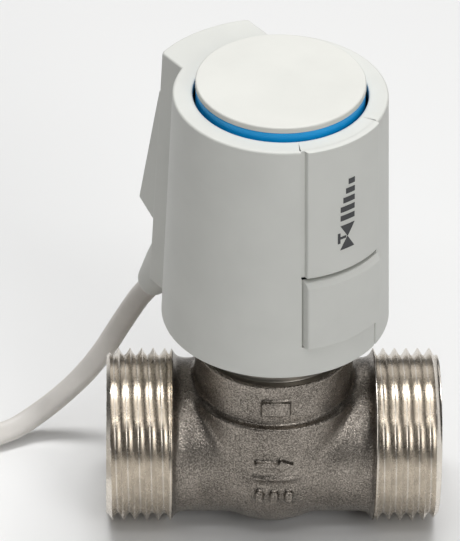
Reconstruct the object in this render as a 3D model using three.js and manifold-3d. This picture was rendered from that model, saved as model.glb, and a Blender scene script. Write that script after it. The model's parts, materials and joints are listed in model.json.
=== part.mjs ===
// Zone valve: a straight G1 valve body with a clip-on thermal actuator head.
// Millimetres, +Z up along the valve stem, +X along the flow, origin where the two axes cross.
// The actuator head is turned about the stem, so that its front faces between -Y and +X.
// Run with the npm packages three and manifold-3d; the default export is the assembled group.

import * as THREE from 'three';
import { mergeVertices } from 'three/addons/utils/BufferGeometryUtils.js';
import Module from 'manifold-3d';

const wasm = await Module();
wasm.setup();

// ---------------------------------------------------------------- driving dimensions

// General
const FIT = 0.3; // running and assembly clearance
const TOUCH = 0.1; // between two pieces that rest on each other
const SMALL_CHAMFER = 0.5;
const FINE_ROUND = 64; // facets round the housing and what shows at its top
const BODY_ROUND = 32; // facets round the valve body and the cable's coil
const ROUND = 24; // facets round the pieces inside
const SMALL_ROUND = 16; // facets round the smallest pieces
const SPRING_STEPS = 11; // sections in one turn of a spring
const HEAD_TURN = 35.5; // degrees from -Y towards +X that the actuator's front faces

// Valve body: two G1 male threads on one pipe, a cast column and a neck for the actuator
const BODY_LENGTH = 66.4;
const THREAD_LENGTH = 13;
const THREAD_PITCH = 2.309;
const THREAD_CREST_R = 16.62;
const THREAD_ROOT_R = 15.15;
const THREAD_CHAMFER = 1.2;
const PIPE_R = 15.4;
const SHOULDER_LENGTH = 2.6;
const BORE_R = 10;
const COLUMN_R = 17.3;
const LEDGE_Z = 14.3;
const COLLAR_R = 15.7;
const COLLAR_TOP_Z = 23.5;
const NECK_RELIEF_R = 13.95;
const NECK_RELIEF_HEIGHT = 2.2;
const NECK_R = 15;
const NECK_TOP_Z = 34;
const NECK_BORE_R = 11;
const CHAMBER_R = 10.5;
const LOWER_CHAMBER_DEPTH = 10.5;
const WEB_HALF_THICKNESS = 1.5;
const SEAT_HOLE_R = 7;
const SEAT_LIP_WIDTH = 1.2;
const SEAT_LIP_HEIGHT = 0.8;
const DIVIDER_THICKNESS = 2.5;

// Raised casting marks on the body
const MARK_HEIGHT = 0.5;
const ARROW_LENGTH = 7.9;
const ARROW_Z = 5.9;
const ARROW_HEAD_HALF_HEIGHT = 1.5;
const ARROW_SHAFT_HALF_HEIGHT = 0.55;
const RIDGE_LENGTH = 10.6;
const RIDGE_Z = 2.2;
const RIDGE_HEIGHT = 0.5;
const PIP_COUNT = 3;
const PIP_PITCH = 2.9;
const PIP_SIZE = [1.5, 2.8];
const PIP_Z = -2.1;
const COLLAR_MARK_Z = 18.6;
const COLLAR_MARK_SIZE = [5.6, 3.2];

// Valve insert
const STEM_R = 2;
const STROKE_BELOW = 2.75; // travel from the rest position down to the closed valve
const STROKE_ABOVE = 1.25; // travel left above the rest position
const CLOSING_DIMENSION = 11.8; // neck top to stem tip with the valve closed
const DISC_R = 8.6;
const DISC_THICKNESS = 2;
const CARRIER_R = 9.2;
const CARRIER_HEIGHT = 2.5;
const CARRIER_HUB_R = 4;
const CARRIER_HUB_HEIGHT = 2;
const RETAINER_R = 5;
const RETAINER_HEIGHT = 1.5;
const BONNET_BOTTOM_Z = 15.2;
const BONNET_HEX_FLATS = 21;
const BONNET_HEX_HEIGHT = 2.7;
const SPRING_CHAMBER_R = 6.5;
const SPRING_SEAT_THICKNESS = 1.8;
const BONNET_GUIDE_THICKNESS = 3;
const GLAND_RECESS_R = 4.6;
const GLAND_RECESS_DEPTH = 2.5;
const GLAND_HEX_FLATS = 10.8;
const GLAND_HEAD_HEIGHT = 2;
const STEM_SEAL_HEIGHT = 0.9;
const BONNET_SEAL_Z = 28;
const BONNET_SEAL_HEIGHT = 2;
const BONNET_SEAL_DEPTH = 1.5;
const VALVE_SPRING_R = 4.6;
const VALVE_SPRING_WIRE_R = 0.45;
const VALVE_SPRING_TURNS = 6;
const STEM_CLIP_HEIGHT = 1.2;
const STEM_CLIP_R = 5.2;
const STEM_CLIP_GROOVE = 0.5;

// Adapter ring and release latch
const ADAPTER_BOTTOM_Z = 28.8;
const ADAPTER_FLANGE_R = 18.5;
const ADAPTER_FLANGE_HEIGHT = 4.2;
const SPIGOT_R = 16;
const SPIGOT_BORE_R = 12.6;
const SPIGOT_TOP_Z = 44.5;
const GROOVE_DEPTH = 1.4;
const GROOVE_BOTTOM_Z = 40;
const GROOVE_HEIGHT = 2.5;
const SPIGOT_CHAMFER = 0.8;
const YOKE_THICKNESS = 1.7;
const YOKE_WIDTH = 1.5;
const YOKE_CLEARANCE = 0.2;
const YOKE_TONGUE_HALF_WIDTH = 5;
const BUTTON_BOTTOM_Z = 38.1;
const BUTTON_TOP_Z = 53.1;
const BUTTON_PROUD = 1.5;
const BUTTON_BEVEL = 0.9;

// Actuator housing
const RIM_Z = 82.3;
const RIM_R = 20.6;
const BASE_Z = 30.9;
const BASE_R = 22.4;
const WALL = 1.9;
const RIM_ROUNDING = 0.5;
const TOP_HOLE_R = 16.8;
const STRIP_HALF_WIDTH = 8.7;
const PANEL_BOTTOM_Z = 53.9;
const PANEL_PROUD = 0.5;
const PANEL_THICKNESS = 1.2;
const WING_R = 26.5;
const WING_TAPER = 0.0625;
const WING_HALF_WIDTH = 10.4;
const WING_BOTTOM_Z = 26.2;
const WING_FLOOR = 2;

// Rear cover and cable plug
const COVER_HALF_WIDTH = 9.9;
const COVER_TOP_Z = 72.4;
const COVER_APEX_Z = 43.8;
const COVER_APEX_R = 33.8;
const COVER_BOTTOM_Z = 41.3;
const COVER_GAP = 0.1;
const COVER_EDGE = 0.6; // how far its top and bottom edges stand off the wing
const HOOD_R = 2.8;
const HOOD_ROOT_R = 4.9;
const HOOD_X = -7.1;
const HOOD_EXIT = [31.8, 21.7]; // y and z of the middle of the hood's mouth, in the head's frame
const HOOD_LENGTH = 15.2;
const HOOD_HALF_WIDTH = 2.9;
const CABLE_OPENING_GAP = 0.5;
const HOOD_LEAN = 31; // degrees that the cable leans outwards from straight down
const PLUG_SIZE = [12, 3.2, 8];
const PLUG_BOTTOM_Z = 30.3;
const PIN_R = 0.6;
const PIN_LENGTH = 5;
const PIN_X = 3;
const PIN_ENGAGEMENT = 2;
const SOCKET_HEIGHT = 8.5;
const BOARD_Y = 20.5;
const BOARD_SIZE = [15, 1.6, 30];
const BOARD_BOTTOM_Z = 38.5;

// Drive inside the head
const PLATE_HEIGHT = 2.2;
const PLATE_R = 19.4;
const PLATE_HOLE_R = 6.5;
const PLATE_FRONT_Y = 17;
const FOOT_R = 5;
const FOOT_NOSE_HEIGHT = 1.5;
const FOOT_HEIGHT = 4.3;
const CARRIAGE_R = 9.5;
const CARRIAGE_WALL = 1.5;
const CARRIAGE_BELOW_CAP = 3.8;
const CARRIAGE_FLANGE_R = 15;
const CARRIAGE_OVER_NOSE = 1.2;
const WINDOW_TO_FLANGE = 0.95;
const CARRIAGE_FLANGE_HEIGHT = 1.7;
const CARRIAGE_LEDGE_HEIGHT = 0.7;
const CARRIAGE_LEDGE_WIDTH = 1.5;
const FOOT_TO_BRIDGE = 1.6;
const BRIDGE_THICKNESS = 3;
const BRIDGE_HALF_WIDTH = 3;
const BRIDGE_REACH = 18.5;
const BRIDGE_POST_THICKNESS = 2.5;
const BRIDGE_FOOT_WIDTH = 4;
const BRIDGE_FOOT_HALF_SPREAD = 6.5;
const BRIDGE_FOOT_HEIGHT = 2.5;
const SCREW_R = 1;
const SCREW_HEAD_R = 1.4;
const SCREW_HEAD_HEIGHT = 1.2;
const SCREW_LENGTH = 4;
const PISTON_R = 2;
const PISTON_SOCKET_DEPTH = 0.5;
const PISTON_LENGTH = 8.7;
const WAX_ELEMENT_HEIGHT = 11.6;
const WAX_ELEMENT_CAP = 3.8;
const HEATER_HEIGHT = 1.6;
const HEATER_MARGIN = 0.7; // between the heater's rim and the carriage's bore clearance
const CLIP_HEIGHT = 0.8;
const RETAINER_RING_R = 18.2;
const RETAINER_BORE_CLEARANCE = 0.5;
const RETAINER_BELOW_CEILING = 3.7;
const RETAINER_RING_HEIGHT = 1.7;
const MAIN_SPRING_R = 12.4;
const MAIN_SPRING_WIRE_R = 0.9;
const MAIN_SPRING_TURNS = 4;

// Position indicator
const CAP_R = 16.3;
const CAP_THICKNESS = 1.25;
const CAP_ROUNDING = 0.35;
const RING_R = 16.2;
const RING_WIDTH = 1.35;
const RING_HEIGHT = 4.2;

// Cable: a flat two-core lead, its loose length coiled and tied
const CABLE_WIDTH = 4.3;
const CABLE_THICKNESS = 2.7;
const CABLE_ROUTE = [
  [-26.5, 23.6, 17.1],
  [-30.1, 25.0, 9.6],
  [-34.1, 25.0, 2.0],
  [-37.8, 24.5, -3.3],
  [-42.9, 23.6, -8.6],
  [-47.8, 22.4, -12.4],
  [-52.4, 20.0, -14.2],
  [-57.6, 17.6, -14.4],
  [-66.0, 16.0, -14.0],
  [-76.9, 16.0, -13.2],
];
const COIL_CENTRE = [-91, -12];
const COIL_R = 25;
const COIL_WIDTH = 8.8;
const COIL_HEIGHT = 9.2;
const TIE_WIDTH = 3.6;
const TIE_THICKNESS = 0.9;
const TIE_HEAD = [4.4, 3.4];
const TAIL_LENGTH = 10;
const CORE_R = 0.95;
const CORE_LENGTH = 7;
const CORE_SPACING = 2;
const FERRULE_R = 0.55;
const FERRULE_LENGTH = 6;

// ---------------------------------------------------------------- derived sizes

const halfBody = BODY_LENGTH / 2;
const stemTipZ = NECK_TOP_Z + CLOSING_DIMENSION + STROKE_BELOW;
const seatTopZ = WEB_HALF_THICKNESS + SEAT_LIP_HEIGHT;
const discBottomZ = seatTopZ + STROKE_BELOW + TOUCH;
const bonnetR = NECK_BORE_R - FIT;
const stemBoreR = STEM_R + FIT;
const guideBottomZ = NECK_TOP_Z + FIT + BONNET_HEX_HEIGHT - GLAND_RECESS_DEPTH - BONNET_GUIDE_THICKNESS;
const bonnetTopZ = NECK_TOP_Z + FIT + BONNET_HEX_HEIGHT;
const springSeatZ = BONNET_BOTTOM_Z + SPRING_SEAT_THICKNESS;
const stemClipZ = guideBottomZ - STROKE_ABOVE - FIT - STEM_CLIP_HEIGHT;
const grooveR = SPIGOT_R - GROOVE_DEPTH;
const yokeInnerR = SPIGOT_R + 2 * YOKE_CLEARANCE;
const yokeShift = yokeInnerR - grooveR - YOKE_CLEARANCE;
const yokeZ = GROOVE_BOTTOM_Z + (GROOVE_HEIGHT - YOKE_THICKNESS) / 2;
const plateZ = SPIGOT_TOP_Z + FIT;
const plateTopZ = plateZ + PLATE_HEIGHT;
const footZ = stemTipZ + FIT;
const carriageBoreR = CARRIAGE_R - CARRIAGE_WALL;
const innerPieceR = carriageBoreR - FIT;
const bridgeZ = footZ + FOOT_HEIGHT + STROKE_ABOVE + FOOT_TO_BRIDGE;
const bridgeTopZ = bridgeZ + BRIDGE_THICKNESS;
const windowBottomZ = bridgeZ - STROKE_ABOVE - FIT;
const windowTopZ = bridgeTopZ + STROKE_BELOW + FIT;
const flangeZ = windowTopZ + WINDOW_TO_FLANGE;
const ledgeTopZ = flangeZ + TOUCH;
const waxZ = ledgeTopZ + FIT;
const heaterZ = waxZ + WAX_ELEMENT_HEIGHT + FIT;
const clipZ = heaterZ + HEATER_HEIGHT + FIT;
const capZ = RIM_Z + STROKE_BELOW - CAP_THICKNESS;
const ringTopZ = capZ - TOUCH / 2;
const carriageTopZ = capZ - CARRIAGE_BELOW_CAP;
const ceilingZ = RIM_Z - WALL;
const retainerTopZ = ceilingZ - RETAINER_BELOW_CEILING;
const retainerZ = retainerTopZ - RETAINER_RING_HEIGHT;
const hoodLean = THREE.MathUtils.degToRad(HOOD_LEAN);
const headTurn = THREE.MathUtils.degToRad(HEAD_TURN);
const floorZ = -THREAD_CREST_R;
const coilZ = floorZ + TIE_THICKNESS + FIT;

const housingR = (z) => RIM_R + ((BASE_R - RIM_R) * (RIM_Z - z)) / (RIM_Z - BASE_Z);
const wingR = (z) => WING_R + WING_TAPER * (RIM_Z - z);

// ---------------------------------------------------------------- materials

const material = (color, roughness, metalness) =>
  new THREE.MeshStandardMaterial({ color, roughness, metalness });

const castNickel = () => material(0x8a8078, 0.5, 0.9);
const turnedBrass = () => material(0xb79a62, 0.3, 1);
const steel = () => material(0xa9adb2, 0.3, 1);
const springSteel = () => material(0x8d9196, 0.35, 1);
const rubber = () => material(0x1d1d1f, 0.8, 0);
const greyPlastic = () => material(0xd3d6d6, 0.5, 0);
const whitePlastic = () => material(0xe9eaea, 0.45, 0);
const bluePlastic = () => material(0x0f86c8, 0.45, 0);
const darkPlastic = () => material(0x3a3d40, 0.6, 0);
const adapterPlastic = () => material(0xc7cbcc, 0.55, 0);
const boardGreen = () => material(0x1f5a3a, 0.5, 0);
const ceramic = () => material(0x5b5650, 0.7, 0);
const cableGrey = () => material(0xc6c4c0, 0.55, 0);
const coreBlue = () => material(0x1f6fb5, 0.5, 0);
const coreBrown = () => material(0x6a4327, 0.5, 0);
const tieWhite = () => material(0xf0f0ee, 0.5, 0);

// ---------------------------------------------------------------- solids

function solid(geometry) {
  const bare = geometry.clone();
  bare.deleteAttribute('normal');
  bare.deleteAttribute('uv');
  const merged = mergeVertices(bare, 1e-4);
  const position = merged.attributes.position.array;
  const corners = merged.index.array;
  const point = (i) => new THREE.Vector3().fromArray(position, 3 * i);
  let volume = 0;
  const faces = [];
  for (let i = 0; i < corners.length; i += 3) {
    const [a, b, c] = [corners[i], corners[i + 1], corners[i + 2]];
    if (a === b || b === c || c === a) continue;
    faces.push([a, b, c]);
    volume += point(a).dot(point(b).cross(point(c)));
  }
  const outward = volume < 0 ? faces.map(([a, b, c]) => [a, c, b]) : faces;
  return new wasm.Manifold(
    new wasm.Mesh({
      numProp: 3,
      vertProperties: Float32Array.from(position),
      triVerts: Uint32Array.from(outward.flat()),
    }),
  );
}

function geometryOf(manifold) {
  const mesh = manifold.getMesh();
  const geometry = new THREE.BufferGeometry();
  const position = new Float32Array(mesh.vertProperties);
  geometry.setAttribute('position', new THREE.BufferAttribute(position, 3));
  geometry.setIndex(new THREE.BufferAttribute(new Uint32Array(mesh.triVerts), 1));
  geometry.computeVertexNormals();
  return geometry;
}

const cut = (body, ...tools) => tools.reduce((left, tool) => left.subtract(tool), body);
const join = (body, ...others) => others.reduce((left, other) => left.add(other), body);

// A profile of [radius, height] points turned about Z; it starts and ends on the axis or closes.
function turned(profile, facets = ROUND) {
  const points = profile.map(([r, z]) => new THREE.Vector2(r, z));
  return solid(new THREE.LatheGeometry(points, facets).rotateX(Math.PI / 2));
}

// The same about X, for the profile's heights read along X.
function turnedAlongX(profile, facets = BODY_ROUND) {
  const points = profile.map(([r, x]) => new THREE.Vector2(r, x));
  return solid(new THREE.LatheGeometry(points, facets).rotateZ(-Math.PI / 2));
}

const disc = (r, z0, z1, facets) =>
  turned([[0, z0], [r, z0], [r, z1], [0, z1]], facets);

const ring = (inner, outer, z0, z1, facets) =>
  turned([[inner, z0], [outer, z0], [outer, z1], [inner, z1], [inner, z0]], facets);

function block(x0, x1, y0, y1, z0, z1) {
  const box = new THREE.BoxGeometry(x1 - x0, y1 - y0, z1 - z0);
  return solid(box.translate((x0 + x1) / 2, (y0 + y1) / 2, (z0 + z1) / 2));
}

const rodAt = (r, x, y, z0, z1, facets = SMALL_ROUND) =>
  solid(new THREE.CylinderGeometry(r, r, z1 - z0, facets)
    .rotateX(Math.PI / 2).translate(x, y, (z0 + z1) / 2));

// A plate of the X-Z outline, from y0 to y1.
function plateAcrossY(outline, y0, y1) {
  const shape = new THREE.Shape(outline.map(([x, z]) => new THREE.Vector2(x, z)));
  const geometry = new THREE.ExtrudeGeometry(shape, { depth: y1 - y0, bevelEnabled: false });
  return solid(geometry.rotateX(Math.PI / 2).translate(0, y1, 0));
}

// A rod along a curve, with an oval section; the section's width stands across the curve.
function alongCurve(curve, width, height, steps, sides = 8) {
  const section = new THREE.Shape();
  for (let i = 0; i < sides; i += 1) {
    const turn = ((i + 0.5) / sides) * 2 * Math.PI;
    const corner = [(height / 2) * Math.cos(turn), (width / 2) * Math.sin(turn)];
    if (i === 0) section.moveTo(...corner);
    else section.lineTo(...corner);
  }
  section.closePath();
  const options = { steps, extrudePath: curve, bevelEnabled: false };
  return solid(new THREE.ExtrudeGeometry(section, options));
}

class Helix extends THREE.Curve {
  constructor(radius, z0, z1, turns) {
    super();
    Object.assign(this, { radius, z0, z1, turns });
  }

  getPoint(t, target = new THREE.Vector3()) {
    const angle = 2 * Math.PI * this.turns * t;
    return target.set(
      this.radius * Math.cos(angle),
      this.radius * Math.sin(angle),
      this.z0 + (this.z1 - this.z0) * t,
    );
  }
}

function spring(radius, wireR, z0, z1, turns) {
  const curve = new Helix(radius, z0 + wireR, z1 - wireR, turns);
  return alongCurve(curve, 2 * wireR, 2 * wireR, Math.round(SPRING_STEPS * turns), 6);
}

const group = new THREE.Group();
const head = new THREE.Group();
head.rotation.z = headTurn;
group.add(head);

function add(parent, name, body, look) {
  const mesh = new THREE.Mesh(geometryOf(body), look);
  mesh.name = name;
  parent.add(mesh);
}

// ---------------------------------------------------------------- valve body

function threadedEnd(side) {
  const end = halfBody;
  const start = halfBody - THREAD_LENGTH;
  const profile = [[PIPE_R, start - SHOULDER_LENGTH], [PIPE_R + 0.3, start - SHOULDER_LENGTH / 2]];
  profile.push([THREAD_CREST_R, start]);
  const crests = Math.floor((THREAD_LENGTH - THREAD_CHAMFER / 2) / THREAD_PITCH);
  for (let i = 1; i <= crests; i += 1) {
    profile.push([THREAD_ROOT_R, start + (i - 0.5) * THREAD_PITCH]);
    profile.push([THREAD_CREST_R, start + i * THREAD_PITCH]);
  }
  profile.push([THREAD_CREST_R - THREAD_CHAMFER, end]);
  return profile.map(([r, x]) => [r, side * x]);
}

function raisedMark(outline, backR) {
  const skin = ring(backR - 1, backR + MARK_HEIGHT, -COLUMN_R, COLLAR_TOP_Z, BODY_ROUND);
  const frontY = -(backR + 2 * MARK_HEIGHT);
  return plateAcrossY(outline, frontY, frontY + backR).intersect(skin);
}

const rectangle = (x, z, width, height) => [
  [x - width / 2, z - height / 2],
  [x + width / 2, z - height / 2],
  [x + width / 2, z + height / 2],
  [x - width / 2, z + height / 2],
];

function castingMarks() {
  const tip = ARROW_LENGTH / 2;
  const barb = tip - 2 * ARROW_HEAD_HALF_HEIGHT;
  const arrow = [
    [-tip, ARROW_Z - ARROW_SHAFT_HALF_HEIGHT],
    [barb, ARROW_Z - ARROW_SHAFT_HALF_HEIGHT],
    [barb, ARROW_Z - ARROW_HEAD_HALF_HEIGHT],
    [tip, ARROW_Z],
    [barb, ARROW_Z + ARROW_HEAD_HALF_HEIGHT],
    [barb, ARROW_Z + ARROW_SHAFT_HALF_HEIGHT],
    [-tip, ARROW_Z + ARROW_SHAFT_HALF_HEIGHT],
  ];
  const marks = [
    raisedMark(arrow, COLUMN_R),
    raisedMark(rectangle(0, RIDGE_Z, RIDGE_LENGTH, RIDGE_HEIGHT), COLUMN_R),
    raisedMark(rectangle(0, COLLAR_MARK_Z, ...COLLAR_MARK_SIZE), COLLAR_R),
  ];
  for (let i = 0; i < PIP_COUNT; i += 1) {
    const x = (i - (PIP_COUNT - 1) / 2) * PIP_PITCH;
    marks.push(raisedMark(rectangle(x, PIP_Z, ...PIP_SIZE), COLUMN_R));
  }
  return marks;
}

function valveBody() {
  const left = threadedEnd(-1).reverse();
  const right = threadedEnd(1);
  const pipe = turnedAlongX([[0, -halfBody], ...left, ...right, [0, halfBody]]);

  const bowl = [];
  const bowlSteps = 6;
  for (let i = 0; i <= bowlSteps; i += 1) {
    const angle = (i / bowlSteps) * (Math.PI / 2);
    bowl.push([COLUMN_R * Math.sin(angle), -COLUMN_R * Math.cos(angle)]);
  }
  bowl[0][0] = 0;
  const reliefTopZ = COLLAR_TOP_Z + NECK_RELIEF_HEIGHT;
  const column = turned([
    ...bowl,
    [COLUMN_R, LEDGE_Z],
    [COLLAR_R, LEDGE_Z],
    [COLLAR_R, COLLAR_TOP_Z],
    [NECK_RELIEF_R, COLLAR_TOP_Z],
    [NECK_RELIEF_R, reliefTopZ],
    [NECK_R, reliefTopZ + NECK_R - NECK_RELIEF_R],
    [NECK_R, NECK_TOP_Z - 1],
    [NECK_R - 1, NECK_TOP_Z],
    [0, NECK_TOP_Z],
  ], BODY_ROUND);

  const past = 1;
  const blindX = CHAMBER_R + DIVIDER_THICKNESS;
  const bore = (x0, x1) => turnedAlongX([[0, x0], [BORE_R, x0], [BORE_R, x1], [0, x1]]);
  const half = (z0, z1) => block(-halfBody, halfBody, -BORE_R, BORE_R, z0, z1);
  const lowerPassage = bore(-blindX - past, -past).intersect(half(-BORE_R, -WEB_HALF_THICKNESS));
  const upperPassage = bore(past, blindX + past).intersect(half(WEB_HALF_THICKNESS, BORE_R));
  const seatLip = ring(
    SEAT_HOLE_R,
    SEAT_HOLE_R + SEAT_LIP_WIDTH,
    WEB_HALF_THICKNESS - past,
    seatTopZ,
  );
  const hollowed = cut(
    join(pipe, column, ...castingMarks()),
    bore(-halfBody - past, -blindX),
    bore(blindX, halfBody + past),
    lowerPassage,
    upperPassage,
    disc(CHAMBER_R, -LOWER_CHAMBER_DEPTH, -WEB_HALF_THICKNESS),
    disc(CHAMBER_R, WEB_HALF_THICKNESS, LEDGE_Z),
    disc(NECK_BORE_R, LEDGE_Z - past, NECK_TOP_Z + past),
    disc(SEAT_HOLE_R, -WEB_HALF_THICKNESS - past, WEB_HALF_THICKNESS + past),
  );
  return hollowed.add(seatLip);
}

// ---------------------------------------------------------------- valve insert

function hexagonBar(flats, z0, z1) {
  const cornerR = flats / Math.sqrt(3);
  return solid(new THREE.CylinderGeometry(cornerR, cornerR, z1 - z0, 6)
    .rotateX(Math.PI / 2).translate(0, 0, (z0 + z1) / 2));
}

function bonnet() {
  const outside = join(
    disc(bonnetR, BONNET_BOTTOM_Z, NECK_TOP_Z + FIT),
    hexagonBar(BONNET_HEX_FLATS, NECK_TOP_Z + FIT, bonnetTopZ),
  );
  const sealGroove = ring(
    bonnetR - BONNET_SEAL_DEPTH,
    bonnetR + 1,
    BONNET_SEAL_Z,
    BONNET_SEAL_Z + BONNET_SEAL_HEIGHT + 2 * FIT,
  );
  return cut(
    outside,
    disc(SPRING_CHAMBER_R, springSeatZ, guideBottomZ),
    disc(stemBoreR, BONNET_BOTTOM_Z - 1, bonnetTopZ, SMALL_ROUND),
    disc(GLAND_RECESS_R, bonnetTopZ - GLAND_RECESS_DEPTH, bonnetTopZ + 1),
    sealGroove,
  );
}

function glandNut() {
  const spigotBottomZ = bonnetTopZ - GLAND_RECESS_DEPTH + STEM_SEAL_HEIGHT + 2 * FIT;
  return cut(
    join(
      disc(GLAND_RECESS_R - FIT, spigotBottomZ, bonnetTopZ + FIT),
      hexagonBar(GLAND_HEX_FLATS, bonnetTopZ + FIT, bonnetTopZ + FIT + GLAND_HEAD_HEIGHT),
    ),
    disc(stemBoreR, spigotBottomZ - 1, bonnetTopZ + GLAND_HEAD_HEIGHT + 1, SMALL_ROUND),
  );
}

function valveStem() {
  const grooveR = STEM_R - STEM_CLIP_GROOVE;
  const bottomZ = discBottomZ - RETAINER_HEIGHT - 2 * FIT;
  return turned(
    [
      [0, bottomZ],
      [STEM_R, bottomZ],
      [STEM_R, stemClipZ - TOUCH],
      [grooveR, stemClipZ - TOUCH],
      [grooveR, stemClipZ + STEM_CLIP_HEIGHT + TOUCH],
      [STEM_R, stemClipZ + STEM_CLIP_HEIGHT + TOUCH],
      [STEM_R, stemTipZ - SMALL_CHAMFER],
      [STEM_R - SMALL_CHAMFER, stemTipZ],
      [0, stemTipZ],
    ],
    SMALL_ROUND,
  );
}

function addValve() {
  add(group, 'valve_body', valveBody(), castNickel());
  add(group, 'bonnet', bonnet(), turnedBrass());
  const sealInnerR = bonnetR - BONNET_SEAL_DEPTH + TOUCH;
  const sealZ = BONNET_SEAL_Z + FIT;
  const bonnetSeal = ring(sealInnerR, NECK_BORE_R - TOUCH, sealZ, sealZ + BONNET_SEAL_HEIGHT);
  add(group, 'bonnet_seal', bonnetSeal, rubber());
  const stemSealZ = bonnetTopZ - GLAND_RECESS_DEPTH + FIT;
  const stemSeal = ring(
    stemBoreR,
    GLAND_RECESS_R - TOUCH,
    stemSealZ,
    stemSealZ + STEM_SEAL_HEIGHT,
    SMALL_ROUND,
  );
  add(group, 'stem_seal', stemSeal, rubber());
  add(group, 'gland_nut', glandNut(), turnedBrass());
  add(group, 'valve_stem', valveStem(), steel());

  const discTopZ = discBottomZ + DISC_THICKNESS;
  add(group, 'valve_disc', ring(stemBoreR, DISC_R, discBottomZ, discTopZ), rubber());
  const carrierZ = discTopZ + TOUCH;
  const hubZ = carrierZ + CARRIER_HEIGHT;
  const carrier = turned([
    [stemBoreR, carrierZ],
    [CARRIER_R, carrierZ],
    [CARRIER_R, hubZ - SMALL_CHAMFER],
    [CARRIER_R - SMALL_CHAMFER, hubZ],
    [CARRIER_HUB_R, hubZ],
    [CARRIER_HUB_R, hubZ + CARRIER_HUB_HEIGHT],
    [stemBoreR, hubZ + CARRIER_HUB_HEIGHT],
    [stemBoreR, carrierZ],
  ]);
  add(group, 'disc_carrier', carrier, turnedBrass());
  const retainerZ = discBottomZ - RETAINER_HEIGHT - TOUCH;
  const retainer = ring(stemBoreR, RETAINER_R, retainerZ, retainerZ + RETAINER_HEIGHT, SMALL_ROUND);
  add(group, 'disc_retainer', retainer, turnedBrass());
  const clip = ring(
    STEM_R - STEM_CLIP_GROOVE + TOUCH,
    STEM_CLIP_R,
    stemClipZ,
    stemClipZ + STEM_CLIP_HEIGHT,
    SMALL_ROUND,
  );
  add(group, 'stem_clip', clip, springSteel());
  const valveSpring = spring(
    VALVE_SPRING_R,
    VALVE_SPRING_WIRE_R,
    springSeatZ + TOUCH,
    stemClipZ - TOUCH,
    VALVE_SPRING_TURNS,
  );
  add(group, 'valve_spring', valveSpring, springSteel());
}

// ---------------------------------------------------------------- adapter and latch

function adapterRing() {
  const flangeTopZ = ADAPTER_BOTTOM_Z + ADAPTER_FLANGE_HEIGHT;
  const shoulderZ = NECK_TOP_Z + FIT;
  const grooveTopZ = GROOVE_BOTTOM_Z + GROOVE_HEIGHT;
  return turned([
    [NECK_R + FIT, ADAPTER_BOTTOM_Z],
    [ADAPTER_FLANGE_R, ADAPTER_BOTTOM_Z],
    [ADAPTER_FLANGE_R, flangeTopZ],
    [SPIGOT_R, flangeTopZ],
    [SPIGOT_R, GROOVE_BOTTOM_Z],
    [grooveR, GROOVE_BOTTOM_Z],
    [grooveR, grooveTopZ],
    [SPIGOT_R, grooveTopZ],
    [SPIGOT_R, SPIGOT_TOP_Z - SPIGOT_CHAMFER],
    [SPIGOT_R - SPIGOT_CHAMFER, SPIGOT_TOP_Z],
    [SPIGOT_BORE_R, SPIGOT_TOP_Z],
    [SPIGOT_BORE_R, shoulderZ],
    [NECK_R + FIT, shoulderZ],
    [NECK_R + FIT, ADAPTER_BOTTOM_Z],
  ]);
}

function latchYoke() {
  const loop = ring(yokeInnerR, yokeInnerR + YOKE_WIDTH, yokeZ, yokeZ + YOKE_THICKNESS)
    .translate([0, -yokeShift, 0]);
  const buttonBackR = housingR(yokeZ + YOKE_THICKNESS) - PANEL_THICKNESS + PANEL_PROUD;
  const reachY = Math.sqrt(buttonBackR ** 2 - YOKE_TONGUE_HALF_WIDTH ** 2) - FIT;
  const tongue = block(
    -YOKE_TONGUE_HALF_WIDTH,
    YOKE_TONGUE_HALF_WIDTH,
    -reachY,
    -(yokeInnerR + yokeShift + 0.3),
    yokeZ,
    yokeZ + YOKE_THICKNESS,
  );
  return loop.add(tongue);
}

// A shell that follows the housing's tapered wall, between two offsets from it.
function wallShell(innerOffset, outerOffset, z0, z1) {
  return turned(
    [
      [housingR(z0) + innerOffset, z0],
      [housingR(z0) + outerOffset, z0],
      [housingR(z1) + outerOffset, z1],
      [housingR(z1) + innerOffset, z1],
      [housingR(z0) + innerOffset, z0],
    ],
    FINE_ROUND,
  );
}

const frontStrip = (halfWidth, z0, z1) =>
  block(-halfWidth, halfWidth, -2 * BASE_R, -BASE_R / 2, z0, z1);

function releaseButton() {
  const inner = PANEL_PROUD - PANEL_THICKNESS;
  const plain = wallShell(inner, BUTTON_PROUD, BUTTON_BOTTOM_Z, BUTTON_TOP_Z - BUTTON_BEVEL);
  const bevelled = turned(
    [
      [housingR(BUTTON_TOP_Z) + inner, BUTTON_TOP_Z - BUTTON_BEVEL],
      [housingR(BUTTON_TOP_Z) + BUTTON_PROUD, BUTTON_TOP_Z - BUTTON_BEVEL],
      [housingR(BUTTON_TOP_Z) + BUTTON_PROUD - BUTTON_BEVEL, BUTTON_TOP_Z],
      [housingR(BUTTON_TOP_Z) + inner, BUTTON_TOP_Z],
      [housingR(BUTTON_TOP_Z) + inner, BUTTON_TOP_Z - BUTTON_BEVEL],
    ],
    FINE_ROUND,
  );
  const strip = frontStrip(STRIP_HALF_WIDTH, BUTTON_BOTTOM_Z, BUTTON_TOP_Z);
  return plain.add(bevelled).intersect(strip);
}

function addAdapterAndLatch() {
  add(group, 'adapter_ring', adapterRing(), adapterPlastic());
  add(head, 'latch_yoke', latchYoke(), darkPlastic());
  add(head, 'release_button', releaseButton(), greyPlastic());
}

// ---------------------------------------------------------------- housing

function wingSolid(offset, z0, z1) {
  const shape = turned(
    [[0, z0], [wingR(z0) + offset, z0], [wingR(z1) + offset, z1], [0, z1]],
    FINE_ROUND,
  );
  const half = WING_HALF_WIDTH + offset;
  return shape.intersect(block(-half, half, 0, 2 * WING_R, z0, z1));
}

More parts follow.
